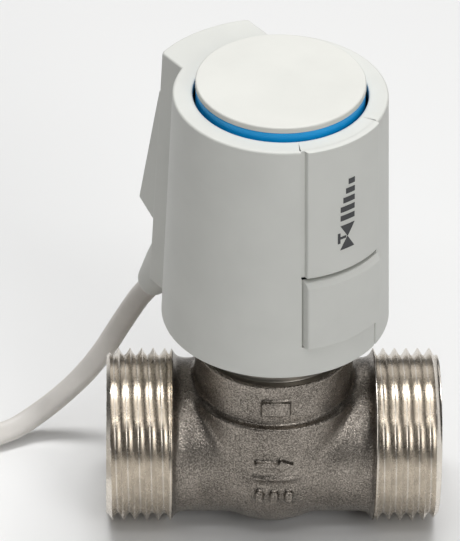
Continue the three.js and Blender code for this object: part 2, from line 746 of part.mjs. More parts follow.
function hoodAxis() {
  const [exitY, exitZ] = HOOD_EXIT;
  const out = new THREE.Vector3(0, Math.sin(hoodLean), -Math.cos(hoodLean));
  return { exit: new THREE.Vector3(HOOD_X, exitY, exitZ), out };
}

// The cable's way along the hood's axis, from inside the wing to `past` the mouth.
function cableWay(grow, past) {
  const { exit, out } = hoodAxis();
  const length = HOOD_LENGTH + past;
  const middle = exit.clone().addScaledVector(out, (past - HOOD_LENGTH) / 2);
  const box = new THREE.BoxGeometry(CABLE_WIDTH + 2 * grow, CABLE_THICKNESS + 2 * grow, length);
  return solid(box.rotateX(hoodLean).translate(middle.x, middle.y, middle.z));
}

function housing() {
  const outside = turned(
    [
      [0, BASE_Z],
      [BASE_R, BASE_Z],
      [RIM_R, RIM_Z - RIM_ROUNDING],
      [RIM_R - RIM_ROUNDING, RIM_Z],
      [0, RIM_Z],
    ],
    FINE_ROUND,
  );
  const inside = turned(
    [
      [0, BASE_Z - 1],
      [BASE_R - WALL, BASE_Z - 1],
      [housingR(ceilingZ) - WALL, ceilingZ],
      [0, ceilingZ],
    ],
    FINE_ROUND,
  );
  const wing = wingSolid(0, WING_BOTTOM_Z, RIM_Z)
    .subtract(disc(BASE_R - WALL, WING_BOTTOM_Z - 1, BASE_Z, FINE_ROUND));
  const wingInside = wingSolid(-WALL, WING_BOTTOM_Z + WING_FLOOR, ceilingZ)
    .subtract(disc(BASE_R, WING_BOTTOM_Z - 1, BASE_Z, FINE_ROUND));
  const gap = STRIP_HALF_WIDTH + FIT;
  const buttonWindow = frontStrip(gap, BUTTON_BOTTOM_Z - FIT, BUTTON_TOP_Z + FIT);
  const panelRecess = wallShell(PANEL_PROUD - PANEL_THICKNESS - FIT, 5, PANEL_BOTTOM_Z - FIT, RIM_Z + 5)
    .intersect(frontStrip(gap, PANEL_BOTTOM_Z - FIT, RIM_Z + 5));
  return cut(
    outside.add(wing),
    inside,
    wingInside,
    disc(TOP_HOLE_R, ceilingZ - 1, RIM_Z + 1, FINE_ROUND),
    buttonWindow,
    panelRecess,
    cableWay(CABLE_OPENING_GAP, HOOD_LENGTH),
  );
}

function frontPanel() {
  const shell = wallShell(PANEL_PROUD - PANEL_THICKNESS, PANEL_PROUD, PANEL_BOTTOM_Z, RIM_Z);
  return shell.intersect(frontStrip(STRIP_HALF_WIDTH, PANEL_BOTTOM_Z, RIM_Z));
}

function rearCover() {
  const wedge = turned(
    [
      [wingR(COVER_BOTTOM_Z) + COVER_GAP, COVER_BOTTOM_Z],
      [wingR(COVER_BOTTOM_Z) + COVER_EDGE, COVER_BOTTOM_Z],
      [COVER_APEX_R, COVER_APEX_Z],
      [wingR(COVER_TOP_Z) + COVER_EDGE, COVER_TOP_Z],
      [wingR(COVER_TOP_Z) + COVER_GAP, COVER_TOP_Z],
      [wingR(COVER_BOTTOM_Z) + COVER_GAP, COVER_BOTTOM_Z],
    ],
    FINE_ROUND,
  );
  const width = block(
    -COVER_HALF_WIDTH,
    COVER_HALF_WIDTH,
    0,
    2 * COVER_APEX_R,
    COVER_BOTTOM_Z - 1,
    COVER_TOP_Z + 1,
  );
  return wedge.intersect(width);
}

function cablePlug() {
  const [width, depth, height] = PLUG_SIZE;
  const backY = BOARD_Y + BOARD_SIZE[1] + FIT;
  const body = block(-width / 2, width / 2, backY, backY + depth, PLUG_BOTTOM_Z, PLUG_BOTTOM_Z + height);
  const { exit, out } = hoodAxis();
  const middle = exit.clone().addScaledVector(out, -HOOD_LENGTH / 2);
  const barrel = solid(new THREE.CylinderGeometry(HOOD_ROOT_R, HOOD_R, HOOD_LENGTH, SMALL_ROUND)
    .rotateX(Math.PI / 2 + hoodLean)
    .translate(middle.x, middle.y, middle.z));
  const left = HOOD_X - HOOD_HALF_WIDTH;
  const right = HOOD_X + HOOD_HALF_WIDTH;
  const hood = barrel
    .intersect(block(left, right, 0, 2 * WING_R, 0, RIM_Z))
    .subtract(wingSolid(COVER_GAP, 0, RIM_Z));
  const pinHoleTopZ = PLUG_BOTTOM_Z + height + 1;
  const pinHole = (side) =>
    rodAt(PIN_R + FIT, side * PIN_X, backY + depth / 2, pinHoleTopZ - PIN_LENGTH - FIT, pinHoleTopZ, 12);
  return cut(join(body, cableWay(0, 0), hood), pinHole(-1), pinHole(1));
}

function addHousing() {
  add(head, 'housing', housing(), greyPlastic());
  add(head, 'front_panel', frontPanel(), greyPlastic());
  add(head, 'rear_cover', rearCover(), greyPlastic());
  add(head, 'cable_plug', cablePlug(), greyPlastic());

  const [boardWidth, boardThickness, boardHeight] = BOARD_SIZE;
  const boardBackY = BOARD_Y + boardThickness;
  const board = block(
    -boardWidth / 2,
    boardWidth / 2,
    BOARD_Y,
    boardBackY,
    BOARD_BOTTOM_Z,
    BOARD_BOTTOM_Z + boardHeight,
  );
  add(head, 'circuit_board', board, boardGreen());
  const [plugWidth, plugDepth, plugHeight] = PLUG_SIZE;
  const socketZ = PLUG_BOTTOM_Z + plugHeight + FIT;
  const socketY = boardBackY + TOUCH;
  const pinY = BOARD_Y + boardThickness + FIT + plugDepth / 2;
  const socket = cut(
    block(-plugWidth / 2, plugWidth / 2, socketY, socketY + plugDepth, socketZ, socketZ + SOCKET_HEIGHT),
    rodAt(PIN_R + TOUCH, -PIN_X, pinY, socketZ - 1, socketZ + PIN_ENGAGEMENT, 12),
    rodAt(PIN_R + TOUCH, PIN_X, pinY, socketZ - 1, socketZ + PIN_ENGAGEMENT, 12),
  );
  add(head, 'socket_block', socket, darkPlastic());
  [-PIN_X, PIN_X].forEach((x, i) => {
    const topZ = socketZ + PIN_ENGAGEMENT - TOUCH;
    add(head, `contact_pin_${i + 1}`, rodAt(PIN_R, x, pinY, topZ - PIN_LENGTH, topZ, 12), steel());
  });
}

// ---------------------------------------------------------------- drive

const screwPlaces = () => {
  const x = BRIDGE_REACH - BRIDGE_FOOT_WIDTH / 2;
  const y = (BRIDGE_HALF_WIDTH + BRIDGE_FOOT_HALF_SPREAD) / 2;
  return [[x, y], [-x, y], [-x, -y], [x, -y]];
};

function basePlate() {
  const plate = ring(PLATE_HOLE_R, PLATE_R, plateZ, plateTopZ)
    .intersect(block(-PLATE_R, PLATE_R, -PLATE_FRONT_Y, PLATE_R, plateZ - 1, plateTopZ + 1));
  const holes = screwPlaces().map(([x, y]) => rodAt(SCREW_R + TOUCH, x, y, plateZ - 1, plateTopZ + 1, 12));
  return cut(plate, ...holes);
}

function abutmentBridge() {
  const bottomZ = plateTopZ + TOUCH;
  const bar = block(
    -BRIDGE_REACH,
    BRIDGE_REACH,
    -BRIDGE_HALF_WIDTH,
    BRIDGE_HALF_WIDTH,
    bridgeZ,
    bridgeTopZ,
  );
  const sides = [-1, 1].map((side) => {
    const outX = side * BRIDGE_REACH;
    const postX = side * (BRIDGE_REACH - BRIDGE_POST_THICKNESS);
    const footX = side * (BRIDGE_REACH - BRIDGE_FOOT_WIDTH);
    const post = block(
      Math.min(outX, postX),
      Math.max(outX, postX),
      -BRIDGE_HALF_WIDTH,
      BRIDGE_HALF_WIDTH,
      bottomZ,
      bridgeTopZ,
    );
    const foot = block(
      Math.min(outX, footX),
      Math.max(outX, footX),
      -BRIDGE_FOOT_HALF_SPREAD,
      BRIDGE_FOOT_HALF_SPREAD,
      bottomZ,
      bottomZ + BRIDGE_FOOT_HEIGHT,
    );
    return post.add(foot);
  });
  const holes = screwPlaces().map(([x, y]) => rodAt(SCREW_R + TOUCH, x, y, bottomZ - 1, bridgeZ, 12));
  const dimple = disc(PISTON_R + TOUCH, bridgeTopZ - PISTON_SOCKET_DEPTH, bridgeTopZ + 1, SMALL_ROUND);
  const rounding = disc(BRIDGE_REACH + 0.3, bottomZ - 1, bridgeTopZ + 1, FINE_ROUND);
  return cut(join(bar, ...sides), ...holes, dimple).intersect(rounding);
}

function bridgeScrew([x, y]) {
  const seatZ = plateTopZ + TOUCH + BRIDGE_FOOT_HEIGHT;
  const shank = rodAt(SCREW_R, x, y, seatZ - SCREW_LENGTH, seatZ + 2 * TOUCH, 12);
  const headBottomZ = seatZ + TOUCH;
  const crown = rodAt(SCREW_HEAD_R, x, y, headBottomZ, headBottomZ + SCREW_HEAD_HEIGHT, 12);
  return shank.add(crown);
}

function plungerFoot() {
  const noseTopZ = footZ + FOOT_NOSE_HEIGHT;
  return turned([
    [0, footZ],
    [FOOT_R - SMALL_CHAMFER, footZ],
    [FOOT_R, footZ + SMALL_CHAMFER],
    [FOOT_R, noseTopZ],
    [innerPieceR, noseTopZ],
    [innerPieceR, footZ + FOOT_HEIGHT],
    [0, footZ + FOOT_HEIGHT],
  ]);
}

function carriage() {
  const bottomZ = footZ + FOOT_NOSE_HEIGHT + CARRIAGE_OVER_NOSE;
  const flangeTopZ = flangeZ + CARRIAGE_FLANGE_HEIGHT;
  const ledgeR = carriageBoreR - CARRIAGE_LEDGE_WIDTH;
  const tube = turned([
    [carriageBoreR, bottomZ],
    [CARRIAGE_R, bottomZ],
    [CARRIAGE_R, flangeZ],
    [CARRIAGE_FLANGE_R, flangeZ],
    [CARRIAGE_FLANGE_R, flangeTopZ],
    [CARRIAGE_R, flangeTopZ],
    [CARRIAGE_R, carriageTopZ],
    [carriageBoreR, carriageTopZ],
    [carriageBoreR, ledgeTopZ],
    [ledgeR, ledgeTopZ],
    [ledgeR, ledgeTopZ - CARRIAGE_LEDGE_HEIGHT],
    [carriageBoreR, ledgeTopZ - CARRIAGE_LEDGE_HEIGHT],
    [carriageBoreR, bottomZ],
  ]);
  const half = BRIDGE_HALF_WIDTH + FIT;
  const window = block(-2 * CARRIAGE_R, 2 * CARRIAGE_R, -half, half, windowBottomZ, windowTopZ);
  return tube.subtract(window);
}

function waxElement() {
  const topZ = waxZ + WAX_ELEMENT_HEIGHT;
  const boreR = PISTON_R + FIT;
  return turned([
    [boreR, waxZ],
    [innerPieceR - 1, waxZ],
    [innerPieceR, waxZ + 1],
    [innerPieceR, topZ - 1],
    [innerPieceR - 1, topZ],
    [0, topZ],
    [0, topZ - WAX_ELEMENT_CAP],
    [boreR, topZ - WAX_ELEMENT_CAP],
    [boreR, waxZ],
  ]);
}

function indicatorCap() {
  const topZ = capZ + CAP_THICKNESS;
  const hubBottomZ = clipZ + CLIP_HEIGHT + FIT;
  return turned(
    [
      [0, hubBottomZ],
      [innerPieceR, hubBottomZ],
      [innerPieceR, capZ],
      [CAP_R, capZ],
      [CAP_R, topZ - CAP_ROUNDING],
      [CAP_R - CAP_ROUNDING, topZ],
      [0, topZ],
    ],
    FINE_ROUND,
  );
}

function addDrive() {
  add(head, 'base_plate', basePlate(), darkPlastic());
  add(head, 'abutment_bridge', abutmentBridge(), steel());
  screwPlaces().forEach((place, i) => {
    add(head, `bridge_screw_${i + 1}`, bridgeScrew(place), steel());
  });
  const pistonZ = bridgeTopZ - PISTON_SOCKET_DEPTH + TOUCH;
  const piston = disc(PISTON_R, pistonZ, pistonZ + PISTON_LENGTH, SMALL_ROUND);
  add(head, 'wax_piston', piston, steel());
  add(head, 'plunger_foot', plungerFoot(), darkPlastic());
  add(head, 'carriage', carriage(), whitePlastic());
  add(head, 'wax_element', waxElement(), turnedBrass());
  add(head, 'heater_disc', disc(innerPieceR - HEATER_MARGIN, heaterZ, heaterZ + HEATER_HEIGHT), ceramic());
  const clip = ring(FOOT_R, innerPieceR, clipZ, clipZ + CLIP_HEIGHT);
  add(head, 'heater_clip', clip, springSteel());

  const retainer = ring(CARRIAGE_R + RETAINER_BORE_CLEARANCE, RETAINER_RING_R, retainerZ, retainerTopZ);
  add(head, 'spring_retainer', retainer, darkPlastic());
  const mainSpring = spring(
    MAIN_SPRING_R,
    MAIN_SPRING_WIRE_R,
    flangeZ + CARRIAGE_FLANGE_HEIGHT + TOUCH,
    retainerZ - TOUCH,
    MAIN_SPRING_TURNS,
  );
  add(head, 'main_spring', mainSpring, springSteel());

  add(head, 'indicator_cap', indicatorCap(), whitePlastic());
  const indicatorRing = ring(RING_R - RING_WIDTH, RING_R, ringTopZ - RING_HEIGHT, ringTopZ, FINE_ROUND);
  add(head, 'indicator_ring', indicatorRing, bluePlastic());
}

// ---------------------------------------------------------------- cable

function cableCurve() {
  const { exit, out } = hoodAxis();
  const up = new THREE.Vector3(0, 0, 1);
  const beyondMouth = [FIT, FIT + 1.5].map((distance) =>
    exit.clone().addScaledVector(out, distance).applyAxisAngle(up, headTurn));
  const points = [...beyondMouth, ...CABLE_ROUTE.map((place) => new THREE.Vector3(...place))];
  return new THREE.CatmullRomCurve3(points, false, 'centripetal');
}

function straightRod(width, height, from, to, sides) {
  const curve = new THREE.LineCurve3(new THREE.Vector3(...from), new THREE.Vector3(...to));
  return alongCurve(curve, width, height, 1, sides);
}

function cableTie() {
  const [cx, cy] = COIL_CENTRE;
  const inX = COIL_WIDTH / 2 + FIT;
  const outX = inX + TIE_THICKNESS;
  const topZ = coilZ + COIL_HEIGHT + FIT;
  const half = TIE_WIDTH / 2;
  const [headLength, headHeight] = TIE_HEAD;
  const band = cut(
    block(-outX, outX, -half, half, floorZ, topZ + TIE_THICKNESS),
    block(-inX, inX, -TIE_WIDTH, TIE_WIDTH, coilZ - FIT, topZ),
  );
  const lock = block(-headLength / 2, headLength / 2, -half, half, topZ, topZ + headHeight);
  return band.add(lock).translate([cx - COIL_R, cy, 0]);
}

function addCable() {
  add(group, 'cable', alongCurve(cableCurve(), CABLE_WIDTH, CABLE_THICKNESS, 26), cableGrey());

  const [cx, cy] = COIL_CENTRE;
  const coil = turned([
    [COIL_R - COIL_WIDTH / 2, coilZ + 1],
    [COIL_R - COIL_WIDTH / 2 + 1, coilZ],
    [COIL_R + COIL_WIDTH / 2 - 1, coilZ],
    [COIL_R + COIL_WIDTH / 2, coilZ + 1],
    [COIL_R + COIL_WIDTH / 2, coilZ + COIL_HEIGHT - 1],
    [COIL_R + COIL_WIDTH / 2 - 1, coilZ + COIL_HEIGHT],
    [COIL_R - COIL_WIDTH / 2 + 1, coilZ + COIL_HEIGHT],
    [COIL_R - COIL_WIDTH / 2, coilZ + COIL_HEIGHT - 1],
    [COIL_R - COIL_WIDTH / 2, coilZ + 1],
  ], BODY_ROUND).translate([cx, cy, 0]);
  add(group, 'cable_coil', coil, cableGrey());
  add(group, 'cable_tie', cableTie(), tieWhite());

  // The free end leaves the coil opposite to where the cable joins it.
  const tailY = cy - COIL_R;
  const tailZ = coilZ + CABLE_THICKNESS / 2;
  const innerEdge = COIL_R - CABLE_WIDTH / 2;
  const outerR = COIL_R + COIL_WIDTH / 2;
  const tailX = cx + Math.sqrt(outerR * outerR - innerEdge * innerEdge) + FIT;
  const tail = straightRod(
    CABLE_WIDTH,
    CABLE_THICKNESS,
    [tailX, tailY, tailZ],
    [tailX + TAIL_LENGTH, tailY, tailZ],
    8,
  );
  add(group, 'cable_tail', tail, cableGrey());
  const looks = [coreBlue, coreBrown];
  [-1, 1].forEach((side, i) => {
    const y = tailY + (side * CORE_SPACING) / 2;
    const coreX = tailX + TAIL_LENGTH + FIT;
    const ferruleX = coreX + CORE_LENGTH + FIT;
    const core = straightRod(2 * CORE_R, 2 * CORE_R, [coreX, y, tailZ], [coreX + CORE_LENGTH, y, tailZ], 8);
    add(group, `cable_core_${i + 1}`, core, looks[i]());
    const ferrule = straightRod(
      2 * FERRULE_R,
      2 * FERRULE_R,
      [ferruleX, y, tailZ],
      [ferruleX + FERRULE_LENGTH, y, tailZ],
      8,
    );
    add(group, `ferrule_${i + 1}`, ferrule, steel());
  });
}

addValve();
addAdapterAndLatch();
addHousing();
addDrive();
addCable();

export default group;
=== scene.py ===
"""Zone valve with its thermal actuator head: the looks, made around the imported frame.

Every size in this file is in millimetres unless a property says otherwise, and becomes metres
when a mesh is made. The actuator's own frame is turned about the stem: its front looks along
its own -Y, and its wing and cable are at +Y.
"""

import json
import math

import bmesh
import bpy
import numpy as np
from mathutils import Euler, Matrix, Vector


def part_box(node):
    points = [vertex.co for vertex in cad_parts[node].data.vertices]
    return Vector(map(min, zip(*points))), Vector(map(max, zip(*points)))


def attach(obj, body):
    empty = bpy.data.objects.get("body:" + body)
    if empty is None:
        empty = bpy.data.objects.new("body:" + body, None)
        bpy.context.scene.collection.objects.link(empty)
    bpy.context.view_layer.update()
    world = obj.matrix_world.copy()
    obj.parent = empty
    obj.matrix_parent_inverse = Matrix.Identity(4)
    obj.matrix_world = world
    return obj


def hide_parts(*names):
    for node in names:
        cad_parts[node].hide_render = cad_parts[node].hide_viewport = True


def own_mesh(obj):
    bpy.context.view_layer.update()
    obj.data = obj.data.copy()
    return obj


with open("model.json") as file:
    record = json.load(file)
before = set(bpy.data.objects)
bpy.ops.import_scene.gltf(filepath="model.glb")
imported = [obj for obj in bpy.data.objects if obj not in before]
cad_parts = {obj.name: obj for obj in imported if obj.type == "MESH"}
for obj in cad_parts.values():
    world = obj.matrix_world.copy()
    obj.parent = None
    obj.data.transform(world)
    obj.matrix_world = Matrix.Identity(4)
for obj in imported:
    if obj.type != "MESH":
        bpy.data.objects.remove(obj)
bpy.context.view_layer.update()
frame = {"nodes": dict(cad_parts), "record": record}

bl_info = {
    "name": "Zone valve",
    "version": (1, 0, 0),
    "blender": (4, 5, 0),
    "location": "View3D > Sidebar > Zone valve",
    "description": "Builds a zone valve with its thermal actuator head around a packed frame",
    "category": "Object",
}

MM = 0.001
ROOT = "valve_and_head"
INDICATOR = "indicator_slide"
LATCH = "latch"

HEAD_TURN = math.radians(35.5)
HEAD_MATRIX = Matrix.Rotation(HEAD_TURN, 4, "Z")


def node_box(name):
    """Lowest and highest corner of a CAD node, in millimetres."""
    low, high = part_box(name)
    return Vector(low) / MM, Vector(high) / MM


# ---------------------------------------------------------------- sizes read from the frame

BODY_LOW, BODY_HIGH = node_box("valve_body")
CAP_LOW, CAP_HIGH = node_box("indicator_cap")
RING_LOW, RING_HIGH = node_box("indicator_ring")
BUTTON_LOW, BUTTON_HIGH = node_box("release_button")
PANEL_LOW, PANEL_HIGH = node_box("front_panel")
COVER_LOW, COVER_HIGH = node_box("rear_cover")
HOUSING_LOW, HOUSING_HIGH = node_box("housing")
COIL_LOW, COIL_HIGH = node_box("cable_coil")
TAIL_LOW, TAIL_HIGH = node_box("cable_tail")
ADAPTER_LOW, ADAPTER_HIGH = node_box("adapter_ring")
MAIN_SPRING_LOW, MAIN_SPRING_HIGH = node_box("main_spring")
VALVE_SPRING_LOW, VALVE_SPRING_HIGH = node_box("valve_spring")

HALF_BODY = BODY_HIGH.x
THREAD_CREST_R = -BODY_LOW.z
NECK_TOP_Z = BODY_HIGH.z
RIM_Z = PANEL_HIGH.z
PANEL_BOTTOM_Z = PANEL_LOW.z
BUTTON_BOTTOM_Z = BUTTON_LOW.z
BUTTON_TOP_Z = BUTTON_HIGH.z
WING_BOTTOM_Z = HOUSING_LOW.z
CAP_TOP_Z = CAP_HIGH.z
RING_TOP_Z = RING_HIGH.z
RING_BOTTOM_Z = RING_LOW.z
FLOOR_Z = BODY_LOW.z


# ---------------------------------------------------------------- settings


def length(name, description, value):
    """A size in metres, given here in millimetres."""
    return bpy.props.FloatProperty(
        name=name, description=description, default=value * MM, unit="LENGTH", subtype="DISTANCE"
    )


def share(name, description, value):
    return bpy.props.FloatProperty(
        name=name, description=description, default=value, min=0, max=1, subtype="FACTOR"
    )


def colour(name, description, value):
    return bpy.props.FloatVectorProperty(
        name=name, description=description, default=value, size=3, min=0, max=1, subtype="COLOR"
    )


def power(name, description, value):
    return bpy.props.FloatProperty(
        name=name, description=description, default=value, min=0, unit="POWER", subtype="POWER"
    )


def angle(name, description, value):
    return bpy.props.FloatProperty(
        name=name, description=description, default=math.radians(value), unit="ROTATION", subtype="ANGLE"
    )


class ValveBodySettings(bpy.types.PropertyGroup):
    """Sizes of the cast body and its threads."""

    thread_length: length("Thread length", "Length of each threaded end", 13)
    thread_pitch: length("Thread pitch", "Pitch of the G1 thread", 2.309)
    thread_depth: length("Thread depth", "Crest to root of the G1 thread", 1.479)
    bore_radius: length("Bore radius", "Radius of the waterway", 10)
    pipe_radius: length("Pipe radius", "Radius of the pipe between the threads", 15.4)
    column_radius: length("Column radius", "Radius of the cast column", 17.3)
    ledge_height: length("Ledge height", "Height of the turned ledge over the flow axis", 14.3)
    collar_radius: length("Collar radius", "Radius of the collar over the ledge", 15.7)
    collar_top: length("Collar top", "Height of the collar's top face", 23.5)
    neck_radius: length("Neck radius", "Radius of the M30 x 1.5 neck", 15)
    neck_pitch: length("Neck pitch", "Pitch of the M30 x 1.5 neck", 1.5)
    casting_voxel: length("Casting voxel", "Voxel size that the casting is smoothed at", 0.3)


class HeadSettings(bpy.types.PropertyGroup):
    """Sizes of the actuator head."""

    rim_radius: length("Rim radius", "Radius of the housing at its rim", 20.6)
    base_radius: length("Base radius", "Radius of the housing at its base", 22.4)
    base_height: length("Base height", "Height of the housing's lower edge", 30.9)
    wall: length("Wall", "Thickness of the housing's wall", 1.9)
    edge_rounding: length("Edge rounding", "Radius of the housing's moulded edges", 0.45)
    hole_radius: length("Hole radius", "Radius of the hole in the top", 16.8)
    wing_radius: length("Wing radius", "Radius of the wing's back at the rim", 26.5)
    wing_taper: share("Wing taper", "How far the wing's back leans out, per unit of height", 0.0625)
    wing_half_width: length("Wing half width", "Half of the wing's width", 10.4)
    strip_half_width: length("Strip half width", "Half of the front strip's width", 8.7)
    panel_proud: length("Panel proud", "How far the front panel stands out", 0.5)
    panel_thickness: length("Panel thickness", "Thickness of the front panel and button", 1.2)
    panel_groove: length("Panel groove", "Width of the groove along the panel's left edge", 0.75)
    button_proud: length("Button proud", "How far the release button stands out", 1.5)
    cap_radius: length("Cap radius", "Radius of the indicator cap", 16.3)
    cap_thickness: length("Cap thickness", "Thickness of the indicator cap's plate", 1.25)
    ring_radius: length("Ring radius", "Radius of the blue ring", 16.2)
    cover_apex_height: length("Cover apex height", "Height of the rear cover's widest point", 43.8)
    cover_apex_radius: length("Cover apex radius", "Radius of the rear cover's widest point", 33.8)
    cover_half_width: length("Cover half width", "Half of the rear cover's width", 9.9)
    hood_radius: length("Hood radius", "Radius of the cable hood at its mouth", 2.8)
    hood_root: length("Hood root", "Height of the cable hood where it leaves the wing", 5.0)
    hood_reach: length("Hood reach", "Length of the cable hood", 15.2)
    hood_lean: angle("Hood lean", "How far the cable leans out from straight down", 31)


class CableSettings(bpy.types.PropertyGroup):
    """Sizes of the flat cable."""

    width: length("Width", "Width of the cable's flat section", 4.5)
    thickness: length("Thickness", "Thickness of the cable's flat section", 2.7)
    turns: bpy.props.FloatProperty(
        name="Turns", description="Turns in the tied coil", default=5.5, min=1, max=12
    )
    core_radius: length("Core radius", "Radius of one insulated core", 0.95)
    ferrule_radius: length("Ferrule radius", "Radius of the ferrule on each core", 0.55)


class FinishSettings(bpy.types.PropertyGroup):
    """Colours and roughness of the finishes."""

    housing_colour: colour("Housing", "Light grey moulded plastic", (0.645, 0.65, 0.615))
    cap_colour: colour("Cap", "Off-white moulded plastic", (0.68, 0.68, 0.64))
    blue_colour: colour("Indicator", "Blue moulded plastic", (0.001, 0.41, 0.92))
    print_colour: colour("Print", "Dark grey ink", (0.035, 0.037, 0.04))
    # The casting's two colours are painted shade for the grain's hollows and painted highlight for the grain tops.
    cast_hollow_shade: colour("Casting dark", "Hollows of the blasted casting", (0.10, 0.088, 0.075))
    cast_grain_highlight: colour("Casting light", "Grain tops of the blasted casting", (0.49, 0.44, 0.385))
    thread_colour: colour("Thread", "Bright turned nickel plate", (0.76, 0.705, 0.63))
    cable_colour: colour("Cable", "Light grey sheath", (0.76, 0.73, 0.69))
    housing_roughness: share("Housing roughness", "Roughness of the moulded plastic", 0.5)
    cast_roughness: share("Casting roughness", "Roughness of the casting", 0.30)
    thread_roughness: share("Thread roughness", "Roughness of the turned threads", 0.26)


class StageSettings(bpy.types.PropertyGroup):
    """Camera, floor and lights."""

    lens: bpy.props.FloatProperty(name="Lens", description="Focal length in mm", default=306.9)
    distance: length("Distance", "From the camera to the point that it looks at", 926.05)
    azimuth: angle("Azimuth", "Turn of the camera round the valve", -1.61)
    elevation: angle("Elevation", "Height of the camera over the horizon", 35.80)
    roll: angle("Roll", "Turn of the camera about its own axis", 1.043)
    floor_colour: colour("Floor", "Plain pale floor", (0.84, 0.84, 0.835))
    world_strength: bpy.props.FloatProperty(
        name="World strength", description="Strength of the even light", default=0.02
    )
    overhead_power: power("Overhead power", "The overhead soft box, a little behind", 5.0)
    top_power: power("Top power", "The large soft box straight above", 2.3)
    back_power: power("Back power", "The large soft box behind", 2.0)
    strip_power: power("Strip power", "The narrow strip high in front", 1.2)
    side_power: power("Side power", "The soft box at the right", 4.3)


# The point that the camera looks at, in millimetres.
CAMERA_TARGET = Vector((-8.476, 19.354, 26.490))


def settings(name):
    return getattr(bpy.context.scene, "zone_valve_" + name)


class Sizes:
    """The lengths of a settings group, in millimetres."""

    def __init__(self, group):
        for key, item in group.bl_rna.properties.items():
            if item.type != "FLOAT" or item.is_array:
                continue
            value = getattr(group, key)
            setattr(self, key, value / MM if item.unit == "LENGTH" else value)


# ---------------------------------------------------------------- mesh code


def mesh_piece(name, vertices, faces, smooth=True, matrix=None):
    """A mesh object from points in millimetres, with shared points merged."""
    mesh = bpy.data.meshes.new(name)
    points = np.asarray(vertices, float) * MM
    mesh.from_pydata(points.tolist(), [], [tuple(int(i) for i in face) for face in faces])
    form = bmesh.new()
    form.from_mesh(mesh)
    bmesh.ops.remove_doubles(form, verts=form.verts, dist=2e-6)
    bmesh.ops.dissolve_degenerate(form, edges=form.edges, dist=1e-7)
    bmesh.ops.recalc_face_normals(form, faces=form.faces)
    form.to_mesh(mesh)
    form.free()
    if matrix is not None:
        mesh.transform(matrix)
    piece = bpy.data.objects.new(name, mesh)
    bpy.context.scene.collection.objects.link(piece)
    if smooth:
        mesh.shade_smooth()
    return piece


def weigh_normals(piece, sharp=math.radians(42)):
    """Keeps large faces flat beside their rounded edges."""
    piece.data.set_sharp_from_angle(angle=sharp)
    piece.modifiers.new("Weighted normals", "WEIGHTED_NORMAL").keep_sharp = True
    return piece


def joined(name, pieces):
    """One object from several, with each one's modifiers applied."""
    graph = bpy.context.evaluated_depsgraph_get()
    form = bmesh.new()
    slots = []
    for piece in pieces:
        mesh = bpy.data.meshes.new_from_object(piece.evaluated_get(graph))
        mesh.transform(piece.matrix_world)
        places = []
        for material in mesh.materials:
            if material not in slots:
                slots.append(material)
            places.append(slots.index(material))
        if places:
            for polygon in mesh.polygons:
                polygon.material_index = places[polygon.material_index]
        form.from_mesh(mesh)
        bpy.data.meshes.remove(mesh)
    whole = bpy.data.meshes.new(name)
    form.to_mesh(whole)
    form.free()
    for material in slots:
        whole.materials.append(material)
    for piece in pieces:
        bpy.data.objects.remove(piece)
    result = bpy.data.objects.new(name, whole)
    bpy.context.scene.collection.objects.link(result)
    return result


def grid_faces(rows, columns, wrap_rows=False, wrap_columns=False, offset=0):
    """Quads of a grid whose point (i, j) has the index offset + i * columns + j."""
    faces = []
    for i in range(rows if wrap_rows else rows - 1):
        below = (i + 1) % rows
        for j in range(columns if wrap_columns else columns - 1):
            right = (j + 1) % columns
            faces.append(
                (
                    offset + i * columns + j,
                    offset + i * columns + right,
                    offset + below * columns + right,
                    offset + below * columns + j,
                )
            )
    return faces


def rounded(points, radius, steps=4, closed=False):
    """A polyline with its corners rounded; radius may be one for each corner."""
    points = [np.array(p, float) for p in points]
    count = len(points)
    radii = radius if hasattr(radius, "__len__") else [radius] * count
    line = []
    for i, corner in enumerate(points):
        if not closed and i in (0, count - 1):
            line.append(corner)
            continue
        before = points[i - 1] - corner
        after = points[(i + 1) % count] - corner
        reach_before, reach_after = np.linalg.norm(before), np.linalg.norm(after)
        before, after = before / reach_before, after / reach_after
        half = math.acos(max(-1, min(1, float(before @ after)))) / 2
        if radii[i] <= 0 or half > math.pi / 2 - 0.02:
            line.append(corner)
            continue
        reach = min(radii[i] / math.tan(half), 0.48 * reach_before, 0.48 * reach_after)
        bend = reach * math.tan(half)
        middle = corner + (before + after) / np.linalg.norm(before + after) * (bend / math.sin(half))
        start = corner + before * reach - middle
        end = corner + after * reach - middle
        sweep = math.pi - 2 * half
        for k in range(steps + 1):
            t = k / steps
            weights = math.sin((1 - t) * sweep) / math.sin(sweep), math.sin(t * sweep) / math.sin(sweep)
            line.append(middle + weights[0] * start + weights[1] * end)
    return line


def lathe(name, profile, segments=128, axis="Z", closed=False, matrix=None):
    """A profile of (radius, height) points turned about an axis."""
    rows = len(profile)
    turn = np.arange(segments) / segments * 2 * math.pi
    vertices = []
    for radius, height in profile:
        across, along = radius * np.cos(turn), radius * np.sin(turn)
        level = np.full(segments, height)
        order = (across, along, level) if axis == "Z" else (level, across, along)
        vertices.append(np.stack(order, 1))
    faces = grid_faces(rows, segments, wrap_rows=closed, wrap_columns=True)
    return mesh_piece(name, np.concatenate(vertices), faces, matrix=matrix)


def clustered(low, high, rounding, middle):
    """Samples from low to high that stand close together near both ends."""
    near = [0, 0.04, 0.15, 0.32, 0.6, 1]
    start = [low + rounding * t for t in near]
    end = [high - rounding * t for t in reversed(near)]
    return np.array(start + list(np.linspace(start[-1], end[0], middle + 2)[1:-1]) + end)


def fillet_drop(distance, rounding):
    """How far a rounded edge falls at a distance from it."""
    inside = np.clip(1 - distance / rounding, 0, 1)
    return rounding * (1 - np.sqrt(1 - inside**2))


